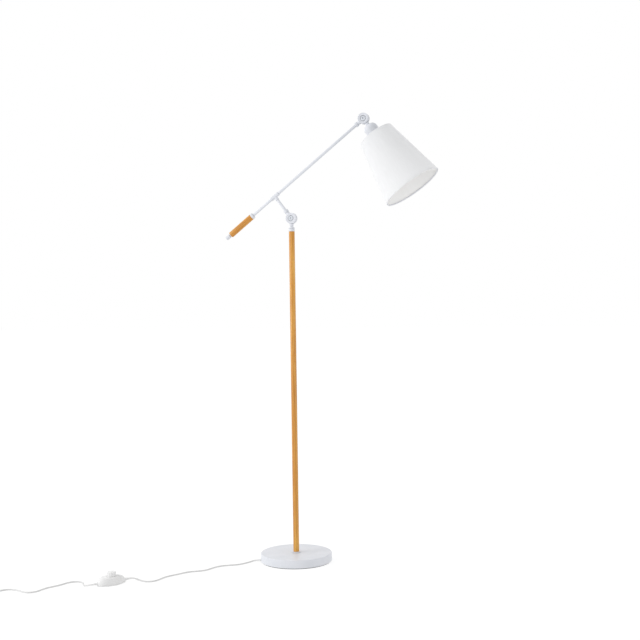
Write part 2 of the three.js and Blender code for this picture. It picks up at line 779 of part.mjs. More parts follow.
// A welded wire frame: the round top wire, three arms and the washer that the lampholder holds.
function shadeTopFrame() {
  const washerFoot = cupEnd + gap;
  const wireHeight = shadeStart + shadeWireInset;
  const wireRadius = shadeInnerRadius(wireHeight) - shadeWire / 2 - gap;
  const washer = ring(holderDiameter / 2 + gap, fittingRingDiameter / 2,
    washerFoot, washerFoot + fittingRingThickness, roundSides);
  const topWire = wireRing(wireRadius, wireHeight);
  const inner = new THREE.Vector3(fittingRingDiameter / 2 - 1, 0, washerFoot + fittingRingThickness / 2);
  const outer = new THREE.Vector3(wireRadius, 0, wireHeight);
  const arms = Array.from({ length: fittingArms }, (_, i) => {
    const spoke = swept(new THREE.LineCurve3(inner, outer), shadeWire - 0.4, 6, wireRadius);
    return spoke.rotateZ(((i + 0.5) * 2 * Math.PI) / fittingArms);
  });
  return join(washer, topWire, ...arms);
}

function shadeInnerRadius(height) {
  return shadeTopDiameter / 2 - shadeWall + (height - shadeStart) * shadeSlope;
}

function wireRing(radius, height) {
  return turned(arc(radius, height, shadeWire / 2, 0, 288, 4), 36);
}

function bulb(capFoot) {
  const neck = bulbCapDiameter / 2 - 0.6;
  const radius = bulbDiameter / 2;
  const start = capFoot + bulbCapLength + gap;
  const centre = capFoot + bulbLength - radius;
  const outer = (angle) => arc(0, centre, radius, angle, 90, 5);
  const inner = (angle) => arc(0, centre, radius - bulbWall, 90, angle, 5);
  return turned([
    [neck, start],
    [neck + 1.5, start + 8],
    ...outer(-46),
    ...inner(-46),
    [neck + 0.5, start + 8],
    [neck - bulbWall, start],
  ]);
}

function buildHead(upper) {
  const head = new THREE.Group();
  head.rotation.y = THREE.MathUtils.degToRad(90 + shadeDrop);
  upper.add(head);
  const nippleEnd = neckEnd + gap + cupRoof + gap + holderBossHeight;
  const capFoot = holderSocketFloor + gap + contactThickness + gap;
  const cap = turned([
    [0, capFoot],
    [5, capFoot],
    [7, capFoot + 2],
    [bulbCapDiameter / 2, capFoot + 6],
    [bulbCapDiameter / 2, capFoot + bulbCapLength],
    [0, capFoot + bulbCapLength],
  ], smallSides);
  const shell = turned([
    [shadeInnerRadius(shadeStart), shadeStart],
    [shadeTopDiameter / 2, shadeStart],
    [shadeMouthDiameter / 2, shadeStart + shadeLength],
    [shadeInnerRadius(shadeStart + shadeLength), shadeStart + shadeLength],
  ], wideSides);
  const mouthWire = shadeStart + shadeLength - shadeWireInset;
  const nutFoot = cupEnd + gap + fittingRingThickness + gap;
  addPiece(head, 'upper_knuckle_rear', knuckleHalf(1, nippleSocket), 'enamel');
  addPivotNut(head, 'upper');
  addPiece(head, 'holder_nipple',
    ring(nippleBore / 2, nippleDiameter / 2, neckEnd - socketDepth + gap, nippleEnd), 'steel');
  addPiece(head, 'holder_cup', cup(), 'enamel');
  addPiece(head, 'lampholder', lampholder(), 'plastic');
  addPiece(head, 'lampholder_contact',
    rod(contactDiameter / 2, holderSocketFloor + gap, holderSocketFloor + gap + contactThickness), 'brass');
  addPiece(head, 'shade_top_frame', shadeTopFrame(), 'enamel');
  const nutBore = holderDiameter / 2 + gap;
  addPiece(head, 'shade_ring_nut',
    edgedRing(nutBore, ringNutDiameter / 2, nutFoot, nutFoot + ringNutHeight, 1), 'plastic');
  addPiece(head, 'shade_shell', shell, 'shade');
  addPiece(head, 'shade_mouth_wire',
    wireRing(shadeInnerRadius(mouthWire) - shadeWire / 2 - gap, mouthWire), 'enamel');
  addPiece(head, 'bulb_cap', cap, 'brass');
  addPiece(head, 'bulb_glass', bulb(capFoot), 'glass');
}

// ---------- foot switch ----------
// The cover's outer or inner surface: a revolved dome, squeezed to the oval outline.
function switchDome(inset, foot, top) {
  const halfLength = switchLength / 2 - inset;
  const halfWidth = switchWidth / 2 - inset;
  const shoulder = 1 - switchCrown;
  const rise = top - switchSide;
  const profile = [
    [0, foot],
    [1, foot],
    ...arc(switchCrown, switchSide, shoulder, 0, 90, 3, rise),
    [0, top],
  ];
  return turned(profile, 28).scale(halfLength, halfWidth, 1);
}

function nozzle() {
  const root = switchLength / 2 - 6;
  const flare = along('x', turned([
    [0, root],
    [nozzleRoot / 2, root],
    [nozzleTip / 2, nozzleReach],
    [0, nozzleReach],
  ], smallSides));
  return flare.translate(0, 0, nozzleHeight);
}

function switchCover() {
  const foot = switchPlate + gap;
  const solid = join(switchDome(0, foot, switchHeight), nozzle(), nozzle().rotateZ(Math.PI));
  const below = new THREE.BoxGeometry(4 * nozzleReach, switchWidth, foot).translate(0, 0, foot / 2);
  const outer = cut(solid, below);
  const hollow = switchDome(switchWall, foot - 1, switchHeight - switchWall);
  const buttonHole = rod(buttonDiameter / 2 + runGap + 0.4, switchHeight / 2, switchHeight + 5, roundSides);
  return cut(outer, hollow, buttonHole);
}

function switchButton() {
  const top = buttonTop;
  const outer = buttonDiameter / 2;
  const inner = outer - buttonWall;
  const cap = turned([
    [inner, buttonFoot],
    [buttonFlangeDiameter / 2, buttonFoot],
    [buttonFlangeDiameter / 2, buttonRimTop],
    [outer - 1, buttonRimTop],
    [outer - 1, top - 2],
    [outer - 3, top],
    [0, top],
    [0, top - buttonWall],
    [inner, top - buttonWall],
  ]);
  const ribs = Array.from({ length: buttonRibs }, (_, i) => {
    const rib = rod(1.5, buttonRimTop - 0.5, top - 2.2, 6).translate(outer - 1.5, 0, 0);
    return rib.rotateZ((i * 2 * Math.PI) / buttonRibs);
  });
  return join(cap, ...ribs);
}

function switchSpring(foot, top) {
  const centre = springDiameter / 2 - springWire / 2;
  const start = foot + springWire / 2;
  const rise = top - foot - springWire;
  const points = Array.from({ length: springTurns * springSteps + 1 }, (_, i) => {
    const angle = (i * 2 * Math.PI) / springSteps;
    const height = start + (rise * i) / (springTurns * springSteps);
    return [centre * Math.cos(angle), centre * Math.sin(angle), height];
  });
  const path = smoothCurve(points);
  const options = { steps: springTurns * springSteps, extrudePath: path, bevelEnabled: false };
  return new THREE.ExtrudeGeometry(circleShape(springWire / 2, 5), options);
}

function buildSwitch(lamp) {
  const pedal = turnedGroup(lamp, switchTurn, switchCentre);
  const outline = new THREE.Shape();
  outline.absellipse(0, 0, switchLength / 2, switchWidth / 2, 0, 2 * Math.PI);
  const blockFoot = switchPlate + gap;
  const blockTop = buttonFoot - buttonTravel;
  const block = turned([
    [0, blockFoot],
    [switchBlockDiameter / 2, blockFoot],
    [switchBlockDiameter / 2, blockTop],
    [switchPostDiameter / 2, blockTop],
    [switchPostDiameter / 2, blockTop + switchPostHeight],
    [0, blockTop + switchPostHeight],
  ], smallSides);
  const springTop = buttonTop - buttonWall - gap;
  addPiece(pedal, 'switch_plate', slab(outline, 0, switchPlate, 18), 'plastic');
  addPiece(pedal, 'switch_cover', switchCover(), 'plastic');
  addPiece(pedal, 'switch_block', block, 'plastic');
  addPiece(pedal, 'switch_spring', switchSpring(blockTop + gap, springTop), 'steel');
  addPiece(pedal, 'switch_button', switchButton(), 'plastic');
}

// ---------- mains lead, coil and plug ----------
// The points of a route between two ends, on the floor.
function between(from, to, route) {
  const way = [to[0] - from[0], to[1] - from[1]];
  return route.map(([ahead, left, raised]) => [
    from[0] + ahead * way[0] - left * way[1],
    from[1] + ahead * way[1] + left * way[0],
    floorCord + raised * cordDiameter,
  ]);
}

// A point so many millimetres straight out from the base's gland.
function glandPoint(beyond, height) {
  const out = polar(baseDiameter / 2 + gap + glandFlangeThickness + beyond, cordTurn);
  return [out.x, out.y, height];
}

// A point beyond a nozzle of the switch: side is -1 for the base's nozzle and 1 for the plug's.
function nozzlePoint(side, beyond, height) {
  const out = polar(side * (nozzleReach + beyond), switchTurn).add(switchCentre);
  return [out.x, out.y, height];
}

function cordBaseToSwitch() {
  const start = glandPoint(gap, glandHeight);
  const end = nozzlePoint(-1, gap, nozzleHeight);
  return smoothCurve([
    start,
    glandPoint(straightLead, glandHeight),
    ...between(start, end, baseToSwitchRoute),
    nozzlePoint(-1, straightLead, nozzleHeight),
    end,
  ]);
}

function cordSwitchToCoil() {
  const start = nozzlePoint(1, gap, nozzleHeight);
  const touch = coilTangent(coilEntryTurn, 0, floorCord);
  const end = coilTangent(coilEntryTurn, -coilClear, coilLift + cordDiameter / 2);
  return smoothCurve([
    start,
    nozzlePoint(1, straightLead, nozzleHeight),
    ...between(start, touch, switchToCoilRoute),
    end,
  ]);
}

// A point on the line that touches the coil's outer turn and runs in a given direction, so many
// millimetres past the touching point. The coil is wound clockwise, seen from above.
function coilTangent(turn, ahead, height) {
  const heading = THREE.MathUtils.degToRad(turn);
  const lane = coilOuter - cordDiameter / 2;
  return [
    coilCentre.x - lane * Math.sin(heading) + ahead * Math.cos(heading),
    coilCentre.y + lane * Math.cos(heading) + ahead * Math.sin(heading),
    height,
  ];
}

function coilSolid() {
  const inner = coilOuter - coilRows * cordDiameter;
  const outer = coilOuter;
  const top = coilLift + coilLayers * cordDiameter;
  const edge = cordDiameter / 2 - 0.5;
  return turned([
    ...arc(outer - edge, coilLift + edge, edge, -90, 0, 1),
    ...arc(outer - edge, top - edge, edge, 0, 90, 1),
    ...arc(inner + edge, top - edge, edge, 90, 180, 1),
    ...arc(inner + edge, coilLift + edge, edge, 180, 270, 1),
  ], 28);
}

function plugShape() {
  const half = plugWidth / 2;
  const neck = plugNeckWidth / 2;
  const shape = new THREE.Shape();
  shape.moveTo(0, -neck);
  shape.bezierCurveTo(8, -neck, 10, -half, 20, -half);
  shape.lineTo(plugLength - 3, -half);
  shape.quadraticCurveTo(plugLength, -half, plugLength, -half + 3);
  shape.lineTo(plugLength, half - 3);
  shape.quadraticCurveTo(plugLength, half, plugLength - 3, half);
  shape.lineTo(20, half);
  shape.bezierCurveTo(10, half, 8, neck, 0, neck);
  return shape;
}

// A flat two-pin plug: rounded slab, tapering strain relief, two round pins.
function buildPlug(lamp) {
  const lane = coilOuter - cordDiameter / 2;
  const tailGroup = turnedGroup(lamp, tailTurn, coilCentre);
  const axis = plugThickness / 2 + cordLift;
  const sleeveStart = coilClear + tailLength;
  const bodyStart = sleeveStart + plugSleeveLength;
  const tail = smoothCurve([
    [coilClear, lane, coilLift + 1.5 * cordDiameter],
    [(coilClear + sleeveStart) / 2, lane, axis + 0.5],
    [sleeveStart - gap, lane, axis],
  ]);
  const options = {
    depth: plugThickness - 2 * plugEdge,
    bevelThickness: plugEdge,
    bevelSize: plugEdge * 0.8,
    bevelOffset: -plugEdge * 0.8,
    bevelSegments: 1,
    curveSegments: 5,
  };
  const slabBody = new THREE.ExtrudeGeometry(plugShape(), options)
    .translate(bodyStart, lane, axis - plugThickness / 2 + plugEdge);
  const sleeve = along('x', turned([
    [0, sleeveStart],
    [cordDiameter / 2 + 0.8, sleeveStart],
    [plugNeckWidth / 2 - 0.6, bodyStart + 6],
    [0, bodyStart + 6],
  ], smallSides)).translate(0, lane, axis);
  const face = bodyStart + plugLength;
  const pinPlaces = { left: plugPinSpacing / 2, right: -plugPinSpacing / 2 };
  const sockets = Object.values(pinPlaces).map((offset) => {
    const hole = rod(plugPinDiameter / 2 + gap, face - pinSocketDepth, face + 1);
    return along('x', hole).translate(0, lane + offset, axis);
  });
  addPiece(tailGroup, 'cord_tail', swept(tail, cordDiameter, 8, 6), 'cord');
  addPiece(tailGroup, 'plug_body', cut(join(slabBody, sleeve), ...sockets), 'plastic');
  for (const [side, offset] of Object.entries(pinPlaces)) {
    const pin = turned([
      [0, face - pinSocketDepth + gap],
      [plugPinDiameter / 2, face - pinSocketDepth + gap],
      [plugPinDiameter / 2, face + plugPinLength - 1],
      [plugPinDiameter / 2 - 1, face + plugPinLength],
      [0, face + plugPinLength],
    ], smallSides);
    addPiece(tailGroup, `plug_pin_${side}`, along('x', pin).translate(0, lane + offset, axis), 'brass');
  }
}

function buildCord(lamp) {
  const step = cordDiameter * 3;
  addPiece(lamp, 'cord_base_to_switch', swept(cordBaseToSwitch(), cordDiameter, 8, step), 'cord');
  addPiece(lamp, 'cord_switch_to_coil', swept(cordSwitchToCoil(), cordDiameter, 8, step), 'cord');
  addPiece(turnedGroup(lamp, 0, coilCentre), 'cord_coil', coilSolid(), 'cord');
  buildPlug(lamp);
}

// ---------- the whole lamp ----------
function buildYoke(lamp) {
  const yoke = new THREE.Group();
  yoke.position.z = pivotHeight;
  yoke.rotation.y = Math.PI; // the rear half's neck points down
  lamp.add(yoke);
  const half = knuckleHalf(1, nippleSocket);
  addPiece(yoke, 'lower_knuckle_rear', half, 'enamel');
  addPivotNut(yoke, 'lower');
}

const lamp = new THREE.Group();
buildBase(lamp);
buildPole(lamp);
buildYoke(lamp);
buildHead(buildArm(lamp));
buildSwitch(lamp);
buildCord(lamp);

export default lamp;
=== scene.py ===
# Adjustable arm floor lamp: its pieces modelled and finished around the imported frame.
import json
import math

import bpy
from mathutils import Matrix, Vector
from mathutils.geometry import interpolate_bezier


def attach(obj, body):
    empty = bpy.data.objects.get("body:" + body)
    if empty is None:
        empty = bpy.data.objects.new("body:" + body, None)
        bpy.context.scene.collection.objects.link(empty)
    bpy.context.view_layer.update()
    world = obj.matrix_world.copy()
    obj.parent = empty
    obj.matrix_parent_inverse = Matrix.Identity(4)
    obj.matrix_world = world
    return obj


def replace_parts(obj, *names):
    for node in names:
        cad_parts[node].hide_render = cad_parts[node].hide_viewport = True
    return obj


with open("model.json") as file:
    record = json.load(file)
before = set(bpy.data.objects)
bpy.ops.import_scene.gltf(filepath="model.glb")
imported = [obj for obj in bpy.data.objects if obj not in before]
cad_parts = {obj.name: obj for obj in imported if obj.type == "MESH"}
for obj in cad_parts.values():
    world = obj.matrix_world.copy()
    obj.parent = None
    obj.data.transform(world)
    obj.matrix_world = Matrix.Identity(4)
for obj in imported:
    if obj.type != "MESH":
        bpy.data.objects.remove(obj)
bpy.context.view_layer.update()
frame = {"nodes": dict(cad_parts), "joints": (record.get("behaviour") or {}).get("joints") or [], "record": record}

mm = 0.001
nodes = frame["nodes"]
joints = {joint["name"]: joint for joint in frame["joints"]}


def clearSelection():
    if bpy.context.object and bpy.context.object.mode != "OBJECT":
        bpy.ops.object.mode_set(mode="OBJECT")
    bpy.ops.object.select_all(action="DESELECT")


def activate(piece):
    clearSelection()
    piece.select_set(True)
    bpy.context.view_layer.objects.active = piece


def openMesh(piece, kind="VERT", selected=False):
    activate(piece)
    bpy.ops.object.mode_set(mode="EDIT")
    bpy.ops.mesh.select_mode(type=kind)
    bpy.ops.mesh.select_all(action="SELECT" if selected else "DESELECT")


def closeMesh():
    bpy.ops.object.mode_set(mode="OBJECT")


# Picks the faces, edges or points whose middle (and normal, on faces) pass the test.
def pick(piece, kind, test):
    openMesh(piece, kind)
    closeMesh()
    mesh = piece.data
    points = mesh.vertices
    if kind == "FACE":
        for face in mesh.polygons:
            face.select = test(face.center, face.normal)
    elif kind == "EDGE":
        for edge in mesh.edges:
            ends = [points[i].co for i in edge.vertices]
            edge.select = test((ends[0] + ends[1]) / 2, (ends[1] - ends[0]).normalized())
    else:
        for point in points:
            point.select = test(point.co, point.normal)
    bpy.ops.object.mode_set(mode="EDIT")


# A modifier is added, set and applied in one go.
def applied(piece, kind, **settings):
    activate(piece)
    modifier = piece.modifiers.new(kind.title(), kind)
    for key, value in settings.items():
        setattr(modifier, key, value)
    bpy.ops.object.modifier_apply(modifier=modifier.name)
    return piece


def carve(piece, operation, *tools):
    for tool in tools:
        applied(piece, "BOOLEAN", operation=operation, object=tool, solver="EXACT")
        bpy.data.objects.remove(tool)
    return piece


def joined(first, *others):
    activate(first)
    for other in others:
        other.select_set(True)
    bpy.ops.object.join()
    return first


def copied(piece, name):
    twin = piece.copy()
    twin.data = piece.data.copy()
    twin.name = name
    bpy.context.collection.objects.link(twin)
    return twin


def moved(piece, matrix):
    activate(piece)
    piece.matrix_world = matrix @ piece.matrix_world
    bpy.ops.object.transform_apply(location=True, rotation=True, scale=True)
    return piece


def shift(x=0, y=0, z=0):
    return Matrix.Translation(Vector((x, y, z)) * mm)


def turn(degrees, axis):
    return Matrix.Rotation(math.radians(degrees), 4, axis)


# Rounds the corners of a profile of (radius, height, rounding) points, all in millimetres.
def rounded(profile, steps=5):
    points = [(*point, 0)[:3] for point in profile]
    rings = []
    for i, (radius, height, rounding) in enumerate(points):
        here = Vector((radius, height))
        if not rounding or i in (0, len(points) - 1):
            rings.append(here)
            continue
        before = (Vector(points[i - 1][:2]) - here).normalized()
        after = (Vector(points[i + 1][:2]) - here).normalized()
        half = before.angle(after) / 2
        middle = here + (before + after).normalized() * rounding / math.sin(half)
        start = here + before * rounding / math.tan(half) - middle
        end = here + after * rounding / math.tan(half) - middle
        swing = math.atan2(start.x * end.y - start.y * end.x, start.dot(end))
        for step in range(steps + 1):
            angle = swing * step / steps
            c, s = math.cos(angle), math.sin(angle)
            rings.append(middle + Vector((start.x * c - start.y * s, start.x * s + start.y * c)))
    return rings


# Extrudes the picked ring or face up through (scale x, scale y, height) steps, in millimetres.
def raiseRings(start, steps):
    before = start
    for scaleX, scaleY, height in steps:
        lift = (height - before[2]) * mm
        bpy.ops.mesh.extrude_region_move(TRANSFORM_OT_translate={"value": (0, 0, lift)})
        grow = (scaleX / before[0], scaleY / before[1], 1)
        bpy.ops.transform.resize(value=grow, center_override=(0, 0, height * mm))
        before = (scaleX, scaleY, height)


# A piece turned about Z from a profile. One that starts and ends on the axis is solid, and any
# other is closed into a ring.
def turned(name, profile, sides=64, steps=5, domed=False):
    solid = profile[0][0] == 0
    rings = rounded(profile, steps)
    if solid:
        rings = rings[1:] if domed else rings[1:-1]
    else:
        rings.append(rings[0])
    clearSelection()
    bpy.ops.mesh.primitive_circle_add(vertices=sides, radius=rings[0].x * mm,
                                      fill_type="NGON" if solid else "NOTHING")
    piece = bpy.context.object
    piece.name = name
    openMesh(piece, "FACE" if solid else "EDGE", selected=True)
    bpy.ops.transform.translate(value=(0, 0, rings[0].y * mm))
    raiseRings((rings[0].x, rings[0].x, rings[0].y),
               [(max(ring.x, 1e-3), max(ring.x, 1e-3), ring.y) for ring in rings[1:]])
    if solid and domed:
        bpy.ops.mesh.merge(type="CENTER")
    bpy.ops.mesh.select_all(action="SELECT")
    bpy.ops.mesh.remove_doubles(threshold=1e-6)
    bpy.ops.mesh.normals_make_consistent(inside=False)
    closeMesh()
    return piece


# A round bar bent along points, in metres, as a mesh.
def tubeAlong(name, points, radius, sides=12, cyclic=False):
    curve = bpy.data.curves.new(name, "CURVE")
    curve.dimensions = "3D"
    curve.bevel_depth = radius
    curve.bevel_resolution = max(0, sides // 4 - 1)
    curve.use_fill_caps = not cyclic
    spline = curve.splines.new("POLY")
    spline.points.add(len(points) - 1)
    for point, place in zip(spline.points, points):
        point.co = (*place, 1)
    spline.use_cyclic_u = cyclic
    piece = bpy.data.objects.new(name, curve)
    bpy.context.collection.objects.link(piece)
    activate(piece)
    bpy.ops.object.convert(target="MESH")
    return bpy.context.object


# Gives a piece its body and its slot's finish, and names the nodes that it stands for.
def dress(piece, body, slotName, nodes=(), smooth=32, finish=None):
    activate(piece)
    if smooth:
        bpy.ops.object.shade_smooth_by_angle(angle=math.radians(smooth))
    if not piece.data.materials:
        piece.data.materials.append(finish or slotFinish[slotName])
    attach(piece, body)
    if nodes:
        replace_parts(piece, *nodes)
    return piece


# sRGB hex to the linear colour that shaders read.
def colour(hexCode, alpha=1.0):
    parts = [int(hexCode[i:i + 2], 16) / 255 for i in (1, 3, 5)]
    linear = [c / 12.92 if c <= 0.04045 else ((c + 0.055) / 1.055) ** 2.4 for c in parts]
    return (*linear, alpha)


# Adds a node with its options, sets or links its inputs, and gives back one of its outputs. An
# input is named with _ for a space, or by its number. A ramp's stops are places with a tone, a
# colour or a number.
def addNode(tree, kind, options=None, out=0, **inputs):
    node = tree.nodes.new("ShaderNode" + kind)
    for key, value in (options or {}).items():
        if key != "stops":
            setattr(node, key, value)
            continue
        while len(node.color_ramp.elements) < len(value):
            node.color_ramp.elements.new(0.5)
        for element, (place, tone) in zip(node.color_ramp.elements, value):
            element.position = place
            element.color = colour(tone) if isinstance(tone, str) else (tone, tone, tone, 1)
    for key, value in inputs.items():
        socket = node.inputs[int(key[1:]) if key[1:].isdigit() else key.replace("_", " ")]
        if isinstance(value, bpy.types.NodeSocket):
            tree.links.new(value, socket)
        else:
            socket.default_value = value
    return node.outputs[out] if len(node.outputs) else node


def newTree(name):
    finish = bpy.data.materials.new(name)
    finish.use_nodes = True
    finish.node_tree.nodes.clear()
    return finish, finish.node_tree


def closeTree(tree, **surface):
    shader = addNode(tree, "BsdfPrincipled", **surface)
    addNode(tree, "OutputMaterial", Surface=shader)


# Cells of so many millimetres along each axis, as a Mapping's scale.
def per(x, y, z):
    return (1 / (x * mm), 1 / (y * mm), 1 / (z * mm))


# Polyester powder coat on steel: satin, with a faint orange peel 1.5 mm across and a tone that
# drifts very slightly over some 45 mm.
def powderCoat(name, pale, deep, gloss=0.36):
    finish, tree = newTree(name)
    place = addNode(tree, "TexCoord", out="Object")
    peel = addNode(tree, "TexNoise", Scale=1 / (1.5 * mm), Detail=2.0, Vector=place)
    cloud = addNode(tree, "TexNoise", Scale=1 / (45 * mm), Detail=3.0, Vector=place)
    tone = addNode(tree, "ValToRGB", {"stops": [(0.35, deep), (0.65, pale)]}, Fac=cloud)
    rough = addNode(tree, "MapRange", Value=cloud, To_Min=gloss - 0.03, To_Max=gloss + 0.05)
    skin = addNode(tree, "Bump", Height=peel, Distance=0.02 * mm, Strength=0.3)
    closeTree(tree, Base_Color=tone, Roughness=rough, Normal=skin, IOR=1.5,
              Specular_IOR_Level=0.3)
    return finish


# Lacquered honey-coloured hardwood: growth lines 3 mm apart that run 130 mm, fine dark pores
# 0.5 mm wide and 12 mm long, and slow changes of tone. The lacquer adds a soft pale sheen.
def lacqueredWood(name, tilt=(0, 0, 0), centre=(0, 0, 0), tones=("#b4711f", "#dd9f42", "#f6c566")):
    finish, tree = newTree(name)
    place = addNode(tree, "TexCoord", out="Object")
    along = addNode(tree, "Mapping", {"vector_type": "TEXTURE"}, Vector=place, Location=centre,
                    Rotation=[math.radians(angle) for angle in tilt])
    lines = addNode(tree, "Mapping", Vector=along, Scale=per(3.2, 3.2, 130))
    drift = addNode(tree, "Mapping", Vector=along, Scale=per(26, 26, 420))
    fine = addNode(tree, "Mapping", Vector=along, Scale=per(0.5, 0.5, 12))
    grain = addNode(tree, "TexNoise", Vector=lines, Scale=1.0, Detail=5.0, Roughness=0.6,
                    Distortion=0.6)
    slow = addNode(tree, "TexNoise", Vector=drift, Scale=1.0, Detail=2.0)
    pores = addNode(tree, "TexNoise", Vector=fine, Scale=1.0, Detail=1.0)
    stops = list(zip((0.3, 0.5, 0.72), tones))
    wood = addNode(tree, "ValToRGB", {"stops": stops}, Fac=grain)
    warm = addNode(tree, "ValToRGB", {"stops": [(0.35, "#e9d7bd"), (0.65, "#ffffff")]}, Fac=slow)
    dots = addNode(tree, "ValToRGB", {"stops": [(0.6, 0.0), (0.7, 0.4)]}, Fac=pores)
    multiply = {"data_type": "RGBA", "blend_type": "MULTIPLY"}
    toned = addNode(tree, "Mix", multiply, 2, _0=0.8, _6=wood, _7=warm)
    dotted = addNode(tree, "Mix", multiply, 2, _0=dots, _6=toned, _7=colour("#6b4520"))
    rough = addNode(tree, "MapRange", Value=grain, To_Min=0.52, To_Max=0.38)
    skin = addNode(tree, "Bump", Height=pores, Distance=0.06 * mm, Strength=0.3)
    closeTree(tree, Base_Color=dotted, Roughness=rough, Normal=skin, IOR=1.52,
              Specular_IOR_Level=0.3, Coat_Weight=0.4, Coat_Roughness=0.26)
    return finish


# Smooth shade cloth laminated on a stiff sheet: matt, with a little bloom at the edges. Its
# threads are 0.5 mm apart, drawn 1.1 mm apart so that they show close up.
def shadeCloth(name, pale, deep):
    finish, tree = newTree(name)
    thread = 1.1 * mm
    unrolled = addNode(tree, "UVMap", {"uv_map": "cloth"})
    bands = math.tau / 20 / thread  # at scale 1 a wave has a band every tau/20 of its unit
    warp = addNode(tree, "TexWave", {"bands_direction": "X"}, 1, Vector=unrolled, Scale=bands,
                   Distortion=0.6)
    weft = addNode(tree, "TexWave", {"bands_direction": "Y"}, 1, Vector=unrolled, Scale=bands,
                   Distortion=0.6)
    weave = addNode(tree, "Math", {"operation": "MULTIPLY"}, _0=warp, _1=weft)
    long = addNode(tree, "Mapping", Vector=unrolled, Scale=per(1.5, 40, 1000))
    slub = addNode(tree, "TexNoise", Vector=long, Scale=1.0, Detail=2.0)
    mixed = addNode(tree, "Math", {"operation": "MULTIPLY_ADD"}, _0=weave, _1=0.4, _2=slub)
    tone = addNode(tree, "ValToRGB", {"stops": [(0.3, deep), (0.8, pale)]}, Fac=mixed)
    skin = addNode(tree, "Bump", Height=weave, Distance=0.05 * mm, Strength=0.3)
    closeTree(tree, Base_Color=tone, Normal=skin, Roughness=0.85, IOR=1.4, Sheen_Weight=0.12,
              Sheen_Roughness=0.5, Subsurface_Weight=0.8, Subsurface_Radius=(1, 1, 1),
              Subsurface_Scale=3 * mm)
    return finish


# Injection-moulded plastic: semi-gloss, with a fine spark-eroded texture 0.7 mm across.
def mouldedPlastic(name, pale, deep, gloss=0.32, depth=0.0):
    finish, tree = newTree(name)
    place = addNode(tree, "TexCoord", out="Object")
    speck = addNode(tree, "TexNoise", Vector=place, Scale=1 / (0.7 * mm), Detail=2.0)
    cloud = addNode(tree, "TexNoise", Vector=place, Scale=1 / (30 * mm), Detail=2.0)
    tone = addNode(tree, "ValToRGB", {"stops": [(0.35, deep), (0.65, pale)]}, Fac=cloud)
    rough = addNode(tree, "MapRange", Value=speck, To_Min=gloss - 0.04, To_Max=gloss + 0.08)
    skin = addNode(tree, "Bump", Height=speck, Distance=0.03 * mm, Strength=0.25)
    closeTree(tree, Base_Color=tone, Roughness=rough, Normal=skin, IOR=1.49,
              Specular_IOR_Level=0.3, Subsurface_Weight=depth, Subsurface_Radius=(1, 1, 1),
              Subsurface_Scale=3 * mm)
    return finish


# Machined or plated metal: bright, with turning marks 0.4 mm apart and a cloudy tone.
def turnedMetal(name, pale, deep, gloss=0.28):
    finish, tree = newTree(name)
    place = addNode(tree, "TexCoord", out="Object")
    flat = addNode(tree, "Mapping", Vector=place, Scale=per(2.4, 0.4, 0.4))
    marks = addNode(tree, "TexNoise", Vector=flat, Scale=1.0, Detail=2.0)
    cloud = addNode(tree, "TexNoise", Vector=place, Scale=1 / (9 * mm), Detail=3.0)
    tone = addNode(tree, "ValToRGB", {"stops": [(0.35, deep), (0.65, pale)]}, Fac=cloud)
    rough = addNode(tree, "MapRange", Value=marks, To_Min=gloss - 0.08, To_Max=gloss + 0.12)
    skin = addNode(tree, "Bump", Height=marks, Distance=0.02 * mm, Strength=0.3)
    closeTree(tree, Base_Color=tone, Roughness=rough, Normal=skin, Metallic=1.0)
    return finish


# Sand-cast iron: dark and matt, grainy at about 1 mm.
def castIron(name):
    finish, tree = newTree(name)
    place = addNode(tree, "TexCoord", out="Object")
    sand = addNode(tree, "TexNoise", Vector=place, Scale=1 / mm, Detail=6.0, Roughness=0.65)
    tone = addNode(tree, "ValToRGB", {"stops": [(0.3, "#35363a"), (0.7, "#56575a")]}, Fac=sand)
    rough = addNode(tree, "MapRange", Value=sand, To_Min=0.8, To_Max=0.5)
    skin = addNode(tree, "Bump", Height=sand, Distance=0.3 * mm, Strength=0.6)
    closeTree(tree, Base_Color=tone, Roughness=rough, Normal=skin, Metallic=0.75)
    return finish


# Needled felt and pressed fibre: matt, with tufts so many millimetres across.
def mattedFibre(name, pale, deep, tuft=0.8):
    finish, tree = newTree(name)
    place = addNode(tree, "TexCoord", out="Object")
    hairs = addNode(tree, "TexNoise", Vector=place, Scale=1 / (tuft * mm), Detail=5.0,
                    Roughness=0.75, Distortion=1.2)
    tone = addNode(tree, "ValToRGB", {"stops": [(0.35, deep), (0.7, pale)]}, Fac=hairs)
    skin = addNode(tree, "Bump", Height=hairs, Distance=0.35 * mm, Strength=0.7)
    closeTree(tree, Base_Color=tone, Normal=skin, Roughness=0.95, Sheen_Weight=0.4,
              Sheen_Roughness=0.6)
    return finish


# Opal bulb glass: etched white, so light spreads in it, with a soft gloss.
def opalGlass(name):
    finish, tree = newTree(name)
    place = addNode(tree, "TexCoord", out="Object")
    cloud = addNode(tree, "TexNoise", Vector=place, Scale=1 / (14 * mm), Detail=3.0)
    tone = addNode(tree, "ValToRGB", {"stops": [(0.35, "#f8f8f5"), (0.65, "#fcfcfa")]}, Fac=cloud)
    rough = addNode(tree, "MapRange", Value=cloud, To_Min=0.2, To_Max=0.32)
    closeTree(tree, Base_Color=tone, Roughness=rough, IOR=1.5, Subsurface_Weight=0.5,
              Subsurface_Radius=(1, 1, 1), Subsurface_Scale=4 * mm)
    return finish


